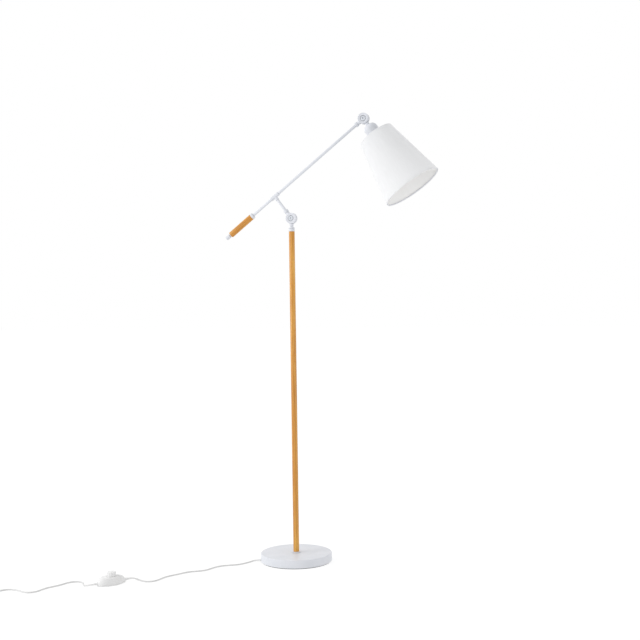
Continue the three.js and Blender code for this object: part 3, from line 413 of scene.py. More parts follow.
armRise, shadeDrop = 37.5, 92.7  # degrees: arm above level, shade down from the arm
gripTilt = (0, 90 - armRise, 0)  # the grip's own length lies along the arm
enamel = powderCoat("powderCoatWhite", "#e2e4ea", "#dcdfe5")
poleWood = lacqueredWood("lacqueredHardwoodPole")
gripWood = lacqueredWood("lacqueredHardwoodGrip", gripTilt, tuple(joints["head_tilt"]["pos_m"]))
cloth = shadeCloth("laminatedShadeCloth", "#eaebed", "#e6e7e9")
# The liner's near-white tone is partly its own colour and partly painted light that brightens the shade's inside.
linerAndPaintedLight = mouldedPlastic("shadeLinerAndPaintedLight", "#fbfaf9", "#f7f6f4", 0.5, 0.8)
plastic = mouldedPlastic("mouldedAbsWhite", "#efefef", "#eaeaea")
sheath = mouldedPlastic("leadSheathPvc", "#dfdfdf", "#d9d9d9", 0.6)
zinc = turnedMetal("zincPlatedSteel", "#c9ccd0", "#a9adb2")
nickel = turnedMetal("satinNickelledSteel", "#d6d9de", "#c9cdd3", 0.45)
brass = turnedMetal("nickelFreeBrass", "#d8b666", "#b8934a", 0.25)
iron = castIron("sandCastIron")
# The felt is near-black of its own, and its darkness also stands in for painted contact shade under the base's
# rim.
felt = mattedFibre("needledFeltAndPaintedShade", "#3a3c3f", "#1d1e20")
fibre = mattedFibre("pressedFibre", "#75695b", "#54493d", 0.4)
opal = opalGlass("opalBulbGlass")
slotFinish = {
    "white_enamel": enamel, "pole_oak": poleWood, "grip_oak": gripWood, "shade_fabric": cloth,
    "white_plastic": plastic, "cord_pvc": sheath, "zinc_steel": zinc, "brass": brass,
    "cast_iron": iron, "felt": felt, "fibre": fibre, "frosted_glass": opal,
}
print("finishes made")


view = {
    "place": (1.2409, -3.4715, 0.9108),
    "ahead": (-0.3123, 0.95),
    "dip": 1.0,  # degrees below level
    "roll": 0.8,
    "lens": 59.06,
    "sensor": 36,
}
ahead = Vector((*view["ahead"], 0)).normalized()
aside = ahead.cross(Vector((0, 0, 1)))


def makeCamera():
    look = ahead * math.cos(math.radians(view["dip"]))
    look.z = -math.sin(math.radians(view["dip"]))
    upright = aside.cross(look)
    c, s = math.cos(math.radians(view["roll"])), math.sin(math.radians(view["roll"]))
    right, up = aside * c - upright * s, upright * c + aside * s
    lens = bpy.data.cameras.new("viewCamera")
    lens.sensor_width = view["sensor"]
    lens.lens = view["lens"]
    lens.clip_start, lens.clip_end = 0.05, 100
    camera = bpy.data.objects.new("viewCamera", lens)
    bpy.context.collection.objects.link(camera)
    camera.matrix_world = Matrix.LocRotScale(
        Vector(view["place"]), Matrix((right, up, -look)).transposed(), None)
    bpy.context.scene.camera = camera


studio = {
    "walls": (1.02, 0.7),  # strength at the left behind the lamp, and at the right before it
    "floor": (0.76, 0.56),  # glow for the eye, and for what stands on it
    # metres to the right, towards the camera and up; size, watts and what it looks at
    "keySoftbox": (-4.2, 1.3, 1.7, 1.9, 62, (0, 0, 0.9)),
    "fillSoftbox": (2.2, 1.4, 0.5, 1.6, 7, (0.4, 0, 1.3)),
}


# A square soft light, placed as the camera sees it.
def softLight(name, right, near, up, size, watts, target):
    lamp = bpy.data.lights.new(name, "AREA")
    lamp.shape = "SQUARE"
    lamp.size = size
    lamp.energy = watts
    light = bpy.data.objects.new(name, lamp)
    bpy.context.collection.objects.link(light)
    light.location = aside * right - ahead * near + Vector((0, 0, up))
    light.rotation_euler = (Vector(target) - light.location).to_track_quat("-Z", "Y").to_euler()


# Light rays see the studio's walls, dimmest at the right of the camera; the eye, mirrors and
# glass see a white one.
def paintWorld(bright, dim):
    world = bpy.data.worlds.new("studio")
    bpy.context.scene.world = world
    world.use_nodes = True
    tree = world.node_tree
    tree.nodes.clear()
    rays = tree.nodes.new("ShaderNodeLightPath")
    seen = addNode(tree, "Math", {"operation": "MAXIMUM"}, _0=rays.outputs["Is Camera Ray"],
                   _1=rays.outputs["Is Glossy Ray"])
    seen = addNode(tree, "Math", {"operation": "MAXIMUM"}, _0=seen,
                   _1=rays.outputs["Is Transmission Ray"])
    way = addNode(tree, "TexCoord", out="Generated")
    facing = addNode(tree, "VectorMath", {"operation": "DOT_PRODUCT"}, 1, _0=way,
                     _1=(ahead - aside).normalized())
    wall = addNode(tree, "MapRange", Value=facing, From_Min=-0.8, From_Max=0.8, To_Min=dim,
                   To_Max=bright)
    level = addNode(tree, "MapRange", Value=seen, To_Min=wall, To_Max=1.0)
    sky = addNode(tree, "Background", Color=(1, 1, 1, 1), Strength=level)
    addNode(tree, "OutputWorld", Surface=sky)


# The floor takes soft shadows. Its own glow brings it up to plain white for the eye and in
# reflections, and stands in for the light that a wide white floor throws back.
def makeFloor(glow, bounce):
    clearSelection()
    bpy.ops.mesh.primitive_plane_add(size=60)
    floor = bpy.context.object
    floor.name = "studioFloor"
    finish, tree = newTree("studioFloorWhite")
    rays = tree.nodes.new("ShaderNodeLightPath")
    seen = addNode(tree, "Math", {"operation": "MAXIMUM"}, _0=rays.outputs["Is Camera Ray"],
                   _1=rays.outputs["Is Glossy Ray"])
    seen = addNode(tree, "Math", {"operation": "MAXIMUM"}, _0=seen,
                   _1=rays.outputs["Is Transmission Ray"])
    strength = addNode(tree, "MapRange", Value=seen, To_Min=bounce, To_Max=glow)
    closeTree(tree, Base_Color=colour("#959595"), Roughness=1.0, Specular_IOR_Level=0.0,
              Emission_Color=(1, 1, 1, 1), Emission_Strength=strength)
    floor.data.materials.append(finish)


bpy.context.scene.view_settings.view_transform = "Standard"
makeCamera()
paintWorld(*studio["walls"])
makeFloor(*studio["floor"])
for lamp in ("keySoftbox", "fillSoftbox"):
    softLight(lamp, *studio[lamp])
print("view, light and floor set")


lead = {
    "diameter": 5 * mm,
    "lift": 0.2,  # floor to its underside
    "straight": 8,  # how far it runs straight on from a housing
    "into": 14,  # how far it runs into the switch's first nozzle
    "exitTurn": 204,  # degrees from +X
    "exitReach": 127.1,
    "exitHeight": 6.6,
    "firstLength": 0.547,  # base to switch
    "secondLength": 1.448,  # switch to plug, coil and all
    # share of the way ahead, share of it to the left, diameters raised
    "firstRoute": [
        (0.0383, -0.0138, 0.65), (0.0785, -0.0137, 0.11), (0.1182, -0.0038, 0),
        (0.1581, 0.0047, 0), (0.1988, 0.0029, 0), (0.2381, -0.0081, 0), (0.2777, -0.018, 0),
        (0.3185, -0.0182, 0), (0.3577, -0.0071, 0), (0.3943, 0.011, 0), (0.4318, 0.027, 0),
        (0.4723, 0.0305, 0), (0.5121, 0.0216, 0), (0.5522, 0.014, 0), (0.5928, 0.0171, 0),
        (0.6325, 0.027, 0), (0.6724, 0.0359, 0), (0.7124, 0.0441, 0), (0.7509, 0.0576, 0),
        (0.7857, 0.079, 0), (0.8195, 0.102, 0), (0.858, 0.1143, 0), (0.8964, 0.1029, 0),
        (0.9195, 0.0699, 0), (0.9328, 0.0314, 0.19), (0.96, 0.0031, 0.91),
    ],
    "secondRoute": [
        (0.0518, 0.0052, 0.91), (0.0909, -0.028, 0.19), (0.1013, -0.0795, 0),
        (0.1021, -0.1328, 0), (0.1287, -0.1782, 0), (0.1779, -0.1961, 0), (0.228, -0.1794, 0),
        (0.2691, -0.1452, 0), (0.3115, -0.1128, 0), (0.3588, -0.0878, 0), (0.4054, -0.0617, 0),
        (0.4449, -0.0258, 0), (0.4802, 0.0145, 0), (0.5254, 0.0417, 0), (0.5774, 0.0354, 0),
        (0.6165, -0.0004, 0), (0.646, -0.045, 0), (0.6809, -0.0854, 0), (0.728, -0.1098, 0),
        (0.7805, -0.1057, 0), (0.823, -0.0741, 0), (0.8557, -0.0317, 0), (0.896, 0.0029, 0),
    ],
}
pedal = {"distance": 657.5, "bearing": 222.98, "turn": 232, "reach": 56, "nozzleHeight": 8}
coil = {
    "distance": 414.41,
    "bearing": 211.65,
    "diameter": 55,
    "entryTurn": 198.2,
    "tailTurn": 108.2,
    "lift": 0.8,
    "landing": 17.6,  # how far before the coil the lead starts to rise
    "crossing": 84,  # degrees over which the lead moves to the next lane
    # lanes outwards (-1 inner, 1 outer) and upwards, turn by turn
    "lanes": [(1, 0), (-1, 0), (-1, 1), (-1, 2), (1, 2), (1, 1)],
    "early": [1, 2, 2, 3, 4],  # crossings by which each move starts before its turn is full
}
plug = {
    "axis": 7.0,
    "start": 43.6,
    "lane": 30,
    "slope": [(16, 0.9), (30, 0.3)],  # past the coil, and above the plug's axis there
}


def polar(distance, bearing, height=0.0):
    angle = math.radians(bearing)
    return Vector((distance * math.cos(angle), distance * math.sin(angle), height)) * mm


pedalMiddle = polar(pedal["distance"], pedal["bearing"])
coilMiddle = pedalMiddle + polar(coil["distance"], coil["bearing"])
lieHeight = lead["lift"] + lead["diameter"] / mm / 2


def onRoute(start, end, route):
    way = end - start
    places = []
    for forward, left, raised in route:
        place = start + way * forward + Vector((-way.y, way.x, 0)) * left
        place.z = lieHeight * mm + raised * lead["diameter"]
        places.append(place)
    return places


def glandPlace(beyond, height):
    return polar(lead["exitReach"] + beyond, lead["exitTurn"], height)


def nozzlePlace(side, beyond, height):
    return pedalMiddle + polar(side * (pedal["reach"] + beyond), pedal["turn"], height)


# On the line that touches the coil's outer lane and runs in a given direction.
def tangentPlace(heading, forward, height):
    lane = (coil["diameter"] + lead["diameter"] / mm) / 2
    return coilMiddle + polar(lane, heading + 90) + polar(forward, heading, height)


# The turns of the coil, clockwise from where the lead touches it.
def coilPlaces(step=12):
    places = []
    lanes, across = coil["lanes"], lead["diameter"] / mm
    total = 360 * (len(lanes) - 1) + coil["entryTurn"] - coil["tailTurn"]
    swept = 0.0
    while swept < total + 1e-6:
        outward, upward = lanes[0]
        for number, early in enumerate(coil["early"], 1):
            share = (swept - 360 * number) / coil["crossing"] + early
            share = min(1.0, max(0.0, share))
            share = 2 * share ** 2 if share < 0.5 else 1 - 2 * (1 - share) ** 2
            outward += (lanes[number][0] - lanes[number - 1][0]) * share
            upward += (lanes[number][1] - lanes[number - 1][1]) * share
        radius = (coil["diameter"] + outward * across) / 2
        height = coil["lift"] + across * (0.5 + upward)
        places.append(coilMiddle + polar(radius, coil["entryTurn"] + 90 - swept, height))
        swept += step
    return places


# A lead through its points, bent as evenly as they allow.
def makeLead(name, places):
    curve = bpy.data.curves.new(name, "CURVE")
    curve.dimensions = "3D"
    curve.bevel_depth = lead["diameter"] / 2
    curve.bevel_resolution = 4
    curve.resolution_u = 8
    curve.use_fill_caps = True
    spline = curve.splines.new("BEZIER")
    spline.bezier_points.add(len(places) - 1)
    steps = [after - before for before, after in zip(places, places[1:])]
    for point, place, before, after in zip(spline.bezier_points, places, steps[:1] + steps,
                                           steps + steps[-1:]):
        way = before.normalized() * after.length + after.normalized() * before.length
        way.normalize()
        point.handle_left_type = point.handle_right_type = "FREE"
        point.co = place
        point.handle_left = place - way * before.length / 3
        point.handle_right = place + way * after.length / 3
    piece = bpy.data.objects.new(name, curve)
    bpy.context.collection.objects.link(piece)
    curve.materials.append(sheath)
    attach(piece, "stand")
    return piece


firstStart = glandPlace(0, lead["exitHeight"])
firstEnd = nozzlePlace(-1, 0.3, pedal["nozzleHeight"])
firstPlaces = [firstStart, glandPlace(lead["straight"], lead["exitHeight"]),
               *onRoute(firstStart, firstEnd, lead["firstRoute"]),
               nozzlePlace(-1, lead["straight"], pedal["nozzleHeight"]), firstEnd,
               nozzlePlace(-1, -lead["into"], pedal["nozzleHeight"])]
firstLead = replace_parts(makeLead("leadBaseToSwitch", firstPlaces), "cord_base_to_switch")
secondStart = nozzlePlace(1, 0.3, pedal["nozzleHeight"])
secondPlaces = [secondStart, nozzlePlace(1, lead["straight"], pedal["nozzleHeight"]),
                *onRoute(secondStart, tangentPlace(coil["entryTurn"], 0, lieHeight),
                         lead["secondRoute"]),
                tangentPlace(coil["entryTurn"], -coil["landing"],
                             coil["lift"] + lead["diameter"] / mm / 2),
                *coilPlaces(),
                *[tangentPlace(coil["tailTurn"], past, plug["axis"] + above)
                  for past, above in plug["slope"]],
                tangentPlace(coil["tailTurn"], plug["start"] - 0.3, plug["axis"])]
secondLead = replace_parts(makeLead("leadSwitchToPlug", secondPlaces),
                         "cord_switch_to_coil", "cord_coil", "cord_tail")
print("lead laid out")


base = {
    "radius": 125, "top": 30, "edge": 3, "wall": 1.6, "lift": 2.4, "bore": 5.3,
    "pad": 122, "padTop": 2, "glandHole": 4.3, "glandHeight": 6.6, "glandSpan": (110, 135),
}
flange = {
    "bore": 5.3, "foot": 30.3, "seat": 15.6, "under": 31.1, "radius": 17.5, "edge": 31.7,
    "crown": 15.2, "top": 32.7,
}
bush = {"bore": 2.8, "radius": 4, "start": 116, "collar": 5.3, "step": 125.3, "end": 126.8}
exitFrame = turn(lead["exitTurn"], "Z") @ shift(z=base["glandHeight"]) @ turn(90, "Y")


def makeBase():
    inner = base["radius"] - base["wall"]
    under = base["top"] - base["wall"]
    cover = turned("baseCover", [
        (base["bore"], base["top"]),
        (base["radius"], base["top"], base["edge"]),
        (base["radius"], base["lift"], 0.5),
        (inner, base["lift"]),
        (inner, under, base["edge"] - base["wall"]),
        (base["bore"], under),
    ], sides=160, steps=7)
    near, far = base["glandSpan"]
    hole = base["glandHole"]
    tunnel = turned("tunnel", [(0, near), (hole, near), (hole, far), (0, far)], sides=32)
    slot = addBlock("slot", (near, -hole, -5), (far, hole, base["glandHeight"]))
    carve(cover, "DIFFERENCE", moved(tunnel, exitFrame),
          moved(slot, turn(lead["exitTurn"], "Z")))
    dress(cover, "stand", "white_enamel", ["base_cover"])
    # The pad reaches out under the cover's rim, where its dark felt also draws painted contact shade.
    pad = turned("basePad", [(0, 0), (base["pad"], 0, 0.4), (base["pad"], base["padTop"], 0.7),
                             (0, base["padTop"])], sides=128, steps=3)
    dress(pad, "stand", "felt", ["base_pad"])
    f = flange
    rose = turned("poleFootFlange", [
        (f["bore"], f["foot"]), (f["seat"], f["foot"]), (f["seat"], f["under"]),
        (f["radius"], f["under"]), (f["radius"] - 0.2, f["edge"], 0.3),
        (f["crown"], f["top"], 0.5), (f["bore"], f["top"]),
    ], sides=72, steps=4)
    dress(rose, "stand", "white_enamel", ["pole_foot_flange"])
    b = bush
    gland = turned("leadBush", [
        (b["bore"], b["start"]), (b["radius"], b["start"], 0.3), (b["radius"], b["step"]),
        (b["collar"], b["step"], 0.2), (b["collar"], b["end"], 0.6), (b["bore"], b["end"]),
    ], sides=40, steps=3)
    dress(moved(gland, exitFrame), "stand", "white_plastic", ["cord_gland"])


# A block between two corners, in millimetres.
def addBlock(name, low, high):
    clearSelection()
    bpy.ops.mesh.primitive_cube_add(size=1)
    block = bpy.context.object
    block.name = name
    low, high = Vector(low) * mm, Vector(high) * mm
    return moved(block, Matrix.LocRotScale((low + high) / 2, None, high - low))


makeBase()


# A moulded sleeve that tapers along the lead from where it leaves a housing.
relief = {"length": 24, "ribs": 5, "groove": 0.45, "tip": 2.75}


def alongLead(piece, backwards=False):
    points = list(piece.data.splines[0].bezier_points)
    points = points[:-1] if backwards else points
    line = []
    for before, after in zip(points, points[1:]):
        line += interpolate_bezier(before.co, before.handle_right, after.handle_left, after.co, 9)
    return line[::-1] if backwards else line


def placeAlong(line, distance):
    for start, end in zip(line, line[1:]):
        span = (end - start).length
        if distance < span:
            return start.lerp(end, distance / span)
        distance -= span
    return line[-1]


def makeRelief(name, line, root):
    steps = relief["ribs"] * 8
    rings = []
    for i in range(steps + 1):
        share = i / steps
        radius = root + (relief["tip"] - root) * share
        if i % 8 in (3, 4, 5) and i < steps - 6:
            radius -= relief["groove"] * (1 - 0.6 * share)
        rings.append((placeAlong(line, (0.2 + relief["length"] * share) * mm), radius))
    curve = bpy.data.curves.new(name, "CURVE")
    curve.dimensions = "3D"
    curve.bevel_depth = mm
    curve.bevel_resolution = 6
    curve.use_fill_caps = True
    spline = curve.splines.new("POLY")
    spline.points.add(steps)
    for point, (place, radius) in zip(spline.points, rings):
        point.co = (*place, 1)
        point.radius = radius
    piece = bpy.data.objects.new(name, curve)
    bpy.context.collection.objects.link(piece)
    activate(piece)
    bpy.ops.object.convert(target="MESH")
    return dress(bpy.context.object, "stand", "white_plastic", smooth=40)


baseRelief = makeRelief("baseRelief", alongLead(firstLead), 3.9)
switchReliefs = [makeRelief("switchReliefBase", alongLead(firstLead, True), 3.6),
                 makeRelief("switchReliefPlug", alongLead(secondLead), 3.6)]
print("base made")


pole = {
    "radius": 10.2, "foot": 33, "top": 1158, "bore": 5.3, "spigot": 7, "spigotFoot": 1140,
    "ferrule": 10.3, "ferruleTop": 1168.3, "ferruleFoot": 1155.3, "collar": 10.75,
    "collarTop": 1172.6, "sleeve": 5.8, "sleeveFoot": 1163.5,
    "well": 6.6, "wellFloor": 1160.3, "leadWay": 2.8, "stem": 5.5, "stemFlange": 6.3,
    "stemFoot": 1160.6, "stemStep": 1163.2, "stemTop": 1177.1, "tenon": 3.9, "tenonTop": 1183.1,
}


def makePole():
    socket = pole["spigot"] + 0.3
    wood = turned("poleWood", [
        (pole["bore"], pole["foot"]),
        (pole["radius"], pole["foot"], 0.3),
        (pole["radius"], pole["top"], 0.5),
        (socket, pole["top"]),
        (socket, pole["spigotFoot"] - 0.3),
        (pole["bore"], pole["spigotFoot"] - 0.3),
    ], sides=72, steps=3)
    dress(wood, "stand", "pole_oak", ["pole_wood"])
    ferrule = turned("poleFerrule", [
        (pole["bore"], pole["spigotFoot"]),
        (pole["spigot"], pole["spigotFoot"], 0.4),
        (pole["spigot"], pole["top"] + 0.3),
        (pole["ferrule"], pole["top"] + 0.3, 0.5),
        (pole["ferrule"], pole["ferruleTop"], 0.9),
        (pole["well"], pole["ferruleTop"]),
        (pole["well"], pole["wellFloor"]),
        (pole["leadWay"], pole["wellFloor"]),
        (pole["leadWay"], pole["ferruleFoot"]),
        (pole["bore"], pole["ferruleFoot"]),
    ], sides=64, steps=4)
    dress(ferrule, "stand", "white_enamel", ["pole_ferrule"])
    collar = turned("swivelCollar", [
        (pole["sleeve"], pole["sleeveFoot"]),
        (pole["sleeve"] + 0.5, pole["sleeveFoot"]),
        (pole["sleeve"] + 0.5, pole["ferruleTop"] + 0.3),
        (pole["collar"], pole["ferruleTop"] + 0.3, 0.4),
        (pole["collar"], pole["collarTop"], 1.4),
        (pole["sleeve"], pole["collarTop"]),
    ], sides=64, steps=5)
    dress(collar, "stand", "white_enamel", ["swivel_collar"])
    stem = turned("swivelStem", [
        (pole["leadWay"], pole["stemFoot"]),
        (pole["stemFlange"], pole["stemFoot"]),
        (pole["stemFlange"], pole["stemStep"]),
        (pole["stem"], pole["stemStep"]),
        (pole["stem"], pole["stemTop"], 0.4),
        (pole["tenon"], pole["stemTop"]),
        (pole["tenon"], pole["tenonTop"]),
        (pole["leadWay"], pole["tenonTop"]),
    ], sides=48, steps=3)
    dress(stem, "yoke", "white_enamel", ["swivel_stem"])


makePole()
print("pole made")


knuckle = {
    "radius": 19, "face": 10.3, "middle": 0.8, "edge": 1.4,
    "rebate": 14, "rebateDepth": 0.7, "well": 10, "wellFloor": 5.3,
    "neck": 7, "neckRoot": 8.25, "neckStart": 12, "neckStep": (18.2, 21.4), "neckEnd": 26.6,
    "socketDepth": 6, "clear": 19.8,
    "bore": 3.3,
}
# Hardware on a pivot; its heights are from the middle plane.
pivot = {
    "shank": 3, "shankEnd": -9, "head": 8.6, "seat": 6.9, "face": 10.3, "groove": (4.1, 5.2),
    "grooveDepth": 0.3, "hexagon": 3.2, "hexagonFloor": 7.2, "bore": 3.3,
    "washer": 9.4, "washerFoot": 5.6, "washerTop": 6.6, "nut": 5.77, "nutTop": 9.0,
}
lockRing = {"bore": 5.3, "radius": 8.5, "foot": 26.9, "top": 35.9, "groove": 0.4, "middle": 31.4}
lowerPivot = Vector(joints["arm_tilt"]["pos_m"])
upperPivot = Vector(joints["head_tilt"]["pos_m"])
strutFrame = Matrix.Translation(lowerPivot) @ turn(-armRise, "Y")
armFrame = strutFrame @ shift(z=100) @ turn(90, "Y")  # Z runs along the arm to the head
yokeFrame = Matrix.Translation(lowerPivot) @ turn(180, "Y")
armEndFrame = Matrix.Translation(upperPivot) @ turn(-armRise - 90, "Y")
headFrame = Matrix.Translation(upperPivot) @ turn(90 - armRise + shadeDrop, "Y")


# One half: a disc beside the middle plane, and a neck that runs up Z in that plane and is cut
# away where the other half turns.
def makeKnuckleHalf(name, side, socket):
    k = knuckle
    disc = turned(name, [
        (k["bore"], k["middle"]),
        (k["radius"], k["middle"], 0.3),
        (k["radius"], k["face"], k["edge"]),
        (k["rebate"] + 2.9, k["face"], 0.1),
        (k["rebate"] + 2.6, k["face"] - 0.35, 0.1),
        (k["rebate"] + 2.0, k["face"] - 0.35, 0.1),
        (k["rebate"] + 1.7, k["face"], 0.1),
        (k["rebate"] + 0.4, k["face"], 0.2),
        (k["rebate"], k["face"] - k["rebateDepth"], 0.2),
        (k["well"], k["face"] - k["rebateDepth"], 0.4),
        (k["well"], k["wellFloor"], 0.4),
        (k["bore"], k["wellFloor"]),
    ], sides=80, steps=4)
    wide, slim = k["neckStep"]
    neck = turned("neck", [
        (0, k["neckStart"]), (k["neckRoot"], k["neckStart"]), (k["neckRoot"], wide, 0.8),
        (k["neck"], slim, 1.2), (k["neck"], k["neckEnd"], 0.7), (0, k["neckEnd"]),
    ], sides=56, steps=4)
    sweep = turned("sweep", [(0, -25), (k["clear"], -25), (k["clear"], k["middle"]),
                             (0, k["middle"])], sides=80)
    bore = turned("bore", [(0, k["neckEnd"] - k["socketDepth"]),
                           (socket, k["neckEnd"] - k["socketDepth"]),
                           (socket, k["neckEnd"] + 2), (0, k["neckEnd"] + 2)], sides=40)
    carve(neck, "DIFFERENCE", moved(sweep, turn(-90, "X")), bore)
    moved(disc, turn(-90, "X"))
    carve(disc, "UNION", neck)
    return moved(disc, turn(180, "Z")) if side < 0 else disc


# A socket screw with a fine groove turned in its head.
def makeScrew(name):
    p = pivot
    inner, outer = p["groove"]
    face, floor, slope = p["face"], p["face"] - p["grooveDepth"], 0.3
    screw = turned(name, [
        (0, p["shankEnd"]), (p["shank"], p["shankEnd"], 0.4), (p["shank"], p["seat"]),
        (p["head"], p["seat"], 0.2), (p["head"], face, 0.9), (outer, face, 0.2),
        (outer - slope, floor, 0.1), (inner + slope, floor, 0.1), (inner, face, 0.2), (0, face),
    ], sides=72, steps=4)
    hexagon = turned("hexagon", [
        (0, p["hexagonFloor"]), (p["hexagon"], p["hexagonFloor"]), (p["hexagon"], face + 0.7),
        (0, face + 0.7),
    ], sides=6)
    return carve(screw, "DIFFERENCE", hexagon)


def makeWasher(name):
    p = pivot
    return turned(name, [
        (p["bore"], p["washerFoot"]), (p["washer"], p["washerFoot"], 0.3),
        (p["washer"], p["washerTop"], 0.3), (p["bore"], p["washerTop"]),
    ], sides=64, steps=3)


def makeNut(name):
    p = pivot
    foot, top = p["washerFoot"], p["nutTop"]
    nut = turned(name, [(0, foot), (p["nut"], foot), (p["nut"], top), (0, top)], sides=6)
    chamfer = turned("chamfer", [(0, 4), (5.9, 4), (5.9, 8.4), (5.1, 9.2), (0, 9.2)], sides=48)
    bore = turned("bore", [(0, 4), (p["bore"], 4), (p["bore"], 12), (0, 12)], sides=32)
    carve(nut, "INTERSECT", chamfer)
    return carve(nut, "DIFFERENCE", bore)


def makeLockRing(name):
    r = lockRing
    radius, root, middle = r["radius"], r["radius"] - r["groove"], r["middle"]
    return turned(name, [
        (r["bore"], r["foot"]), (radius, r["foot"], 1.0), (radius, middle - 0.6, 0.2),
        (root, middle - 0.3, 0.1), (root, middle + 0.3, 0.1), (radius, middle + 0.6, 0.2),
        (radius, r["top"], 1.0), (r["bore"], r["top"]),
    ], sides=56, steps=4)


def makeKnuckles():
    toFront = turn(90, "X")  # a Z-turned piece then points to -Y
    toRear = turn(-90, "X")
    for prefix, frontFrame, rearFrame, rearBody in (
            ("lower", strutFrame, yokeFrame, "yoke"), ("upper", armEndFrame, headFrame, "head")):
        front = makeKnuckleHalf(prefix + "KnuckleFront", -1, 5.3)
        dress(moved(front, frontFrame), "arm", "white_enamel", [prefix + "_knuckle_front"])
        rear = makeKnuckleHalf(prefix + "KnuckleRear", 1, 4.2)
        dress(moved(rear, rearFrame), rearBody, "white_enamel", [prefix + "_knuckle_rear"])
        screw = makeScrew(prefix + "PivotScrew")
        dress(moved(screw, frontFrame @ toFront), "arm", "zinc_steel",
              [prefix + "_pivot_screw"], finish=nickel)
        washer = makeWasher(prefix + "SpringWasher")
        dress(moved(washer, frontFrame @ toFront), "arm", "zinc_steel",
              [prefix + "_spring_washer"])
        nut = makeNut(prefix + "PivotNut")
        dress(moved(nut, rearFrame @ toRear), rearBody, "zinc_steel", [prefix + "_pivot_nut"])
    strutRing = moved(makeLockRing("strutLockRing"), strutFrame)
    dress(strutRing, "arm", "white_enamel", ["strut_lock_ring"])
    armRing = moved(makeLockRing("armLockRing"), armEndFrame)
    dress(armRing, "arm", "white_enamel", ["arm_lock_ring"])


makeKnuckles()
print("knuckles made")


arm = {
    "tube": 5, "tubeBore": 3.7, "strut": (20.9, 90.7), "length": (-112, 392.1),
    "tee": 7.2, "teeHalf": 17, "branch": 6.5, "branchEnd": 16, "branchSocket": 9,
}
grip = {
    "radius": 10.75, "ring": (-112, -104), "wood": (-213.3, -112.3), "core": 8.8,
    "knob": (-235.6, -213.6), "knobRadius": 7, "knobNeck": 5.5,
}


def makeArm():
    bore = arm["tube"] + 0.3
    strut = turned("strutTube", [
        (arm["tubeBore"], arm["strut"][0]), (arm["tube"], arm["strut"][0], 0.2),
        (arm["tube"], arm["strut"][1], 0.2), (arm["tubeBore"], arm["strut"][1]),
    ], sides=48, steps=2)
    dress(moved(strut, strutFrame), "arm", "white_enamel", ["strut_tube"])
    tube = turned("armTube", [
        (arm["tubeBore"], arm["length"][0]), (arm["tube"], arm["length"][0], 0.2),
        (arm["tube"], arm["length"][1], 0.2), (arm["tubeBore"], arm["length"][1]),
    ], sides=48, steps=2)
    dress(moved(tube, armFrame), "arm", "white_enamel", ["arm_tube"])
    half, radius = arm["teeHalf"], arm["tee"]
    sleeve = turned("armTee", [
        (0, -half), (radius, -half, 0.8), (radius, -half + 5, 0.2), (radius - 0.35, -half + 5.4),
        (radius - 0.35, half - 5.4), (radius, half - 5, 0.2), (radius, half, 0.8), (0, half),
    ], sides=64, steps=4)
    branch = turned("branch", [
        (0, -arm["branchEnd"]), (arm["branch"], -arm["branchEnd"], 0.8),
        (arm["branch"], -arm["branchEnd"] + 3.5, 0.2), (arm["branch"] - 0.35, -12.2),
        (arm["branch"] - 0.35, 0), (0, 0),
    ], sides=56, steps=4)
    armBore = turned("armBore", [(0, -30), (bore, -30), (bore, 30), (0, 30)], sides=48)
    socket = turned("socket", [(0, -20), (bore, -20), (bore, -arm["branchSocket"]),
                               (0, -arm["branchSocket"])], sides=48)
    carve(sleeve, "UNION", moved(branch, turn(-90, "Y")))
    carve(sleeve, "DIFFERENCE", armBore, moved(socket, turn(-90, "Y")))
    dress(moved(sleeve, armFrame), "arm", "white_enamel", ["arm_tee"])


def makeGrip():
    start, end = grip["ring"]
    ring = turned("gripRing", [
        (5.3, start), (grip["radius"], start, 0.5), (grip["radius"], end, 1.6), (5.3, end),
    ], sides=64, steps=5)
    dress(moved(ring, armFrame), "arm", "white_enamel", ["grip_ring"])
    start, end = grip["wood"]
    wood = turned("gripWood", [
        (grip["core"], start), (grip["radius"], start, 1.0), (grip["radius"], end, 0.6),
        (grip["core"], end),
    ], sides=72, steps=5)
    dress(moved(wood, armFrame), "arm", "grip_oak", ["grip_wood"])
    start, end = grip["knob"]
    radius, neck = grip["knobRadius"], grip["knobNeck"]
    knob = turned("gripKnob", [
        (0, start), (radius, start, 3.4), (radius, end - 5, 0.8), (neck, end - 4, 0.3),
        (neck, end, 0.2), (3.7, end), (3.7, end - 11.3), (0, end - 11.3),
    ], sides=56, steps=6)
    dress(moved(knob, armFrame), "arm", "white_enamel", ["grip_knob"])


makeArm()
makeGrip()
print("arm and grip made")


# Heights below are down Z of the head's frame, which is the shade's own axis.
cup = {
    "bore": 4.2, "top": 26.9, "collar": 7.5, "radius": 24, "mouth": 86, "wall": 1.4,
    "ceiling": 30.9,
    "shoulder": (9.5, 45.4),  # the middle that both its curves turn round
    "outside": (14.5, 17),  # their reach and rise
    "inside": (13.1, 14.5),
}
lampholder = {
    "bore": 4.2, "neck": 7, "top": 31.2, "shoulder": 45.2, "radius": 19.5, "mouth": 104,
    "socket": 14, "floor": 72, "threads": 6, "threadStart": 84.6, "pitch": 2.6, "depth": 0.6,
}
ringNut = {"bore": 19.8, "radius": 25, "start": 88.1, "end": 95.1, "points": 96}
frameWire = {
    "top": 1.5, "spoke": 1.3, "topHeight": 75.3, "topRadius": 61.42, "arms": 3,
    "washer": (19.8, 27), "washerHeight": (86.3, 87.8),
    # a spoke's bends, as distances from the axis and heights
    "bends": [(25.4, 87.05), (30, 86.6), (35, 85.1), (50, 79.8), (57, 77.2), (61.42, 75.9)],
}
shade = {
    "top": 64, "mouth": 105, "start": 73, "end": 295, "wall": 1.2, "sides": 160,
    "wire": 1.5, "wireHeight": 292.7,
}
bulb = {
    "radius": 30, "centre": 149.2, "neck": 12.6, "foot": 99.5,
    "cap": 13.2, "capStart": 74.2, "capEnd": 99.2, "threads": 5, "threadStart": 81.5,
    "pitch": 3.2, "depth": 0.8,
}


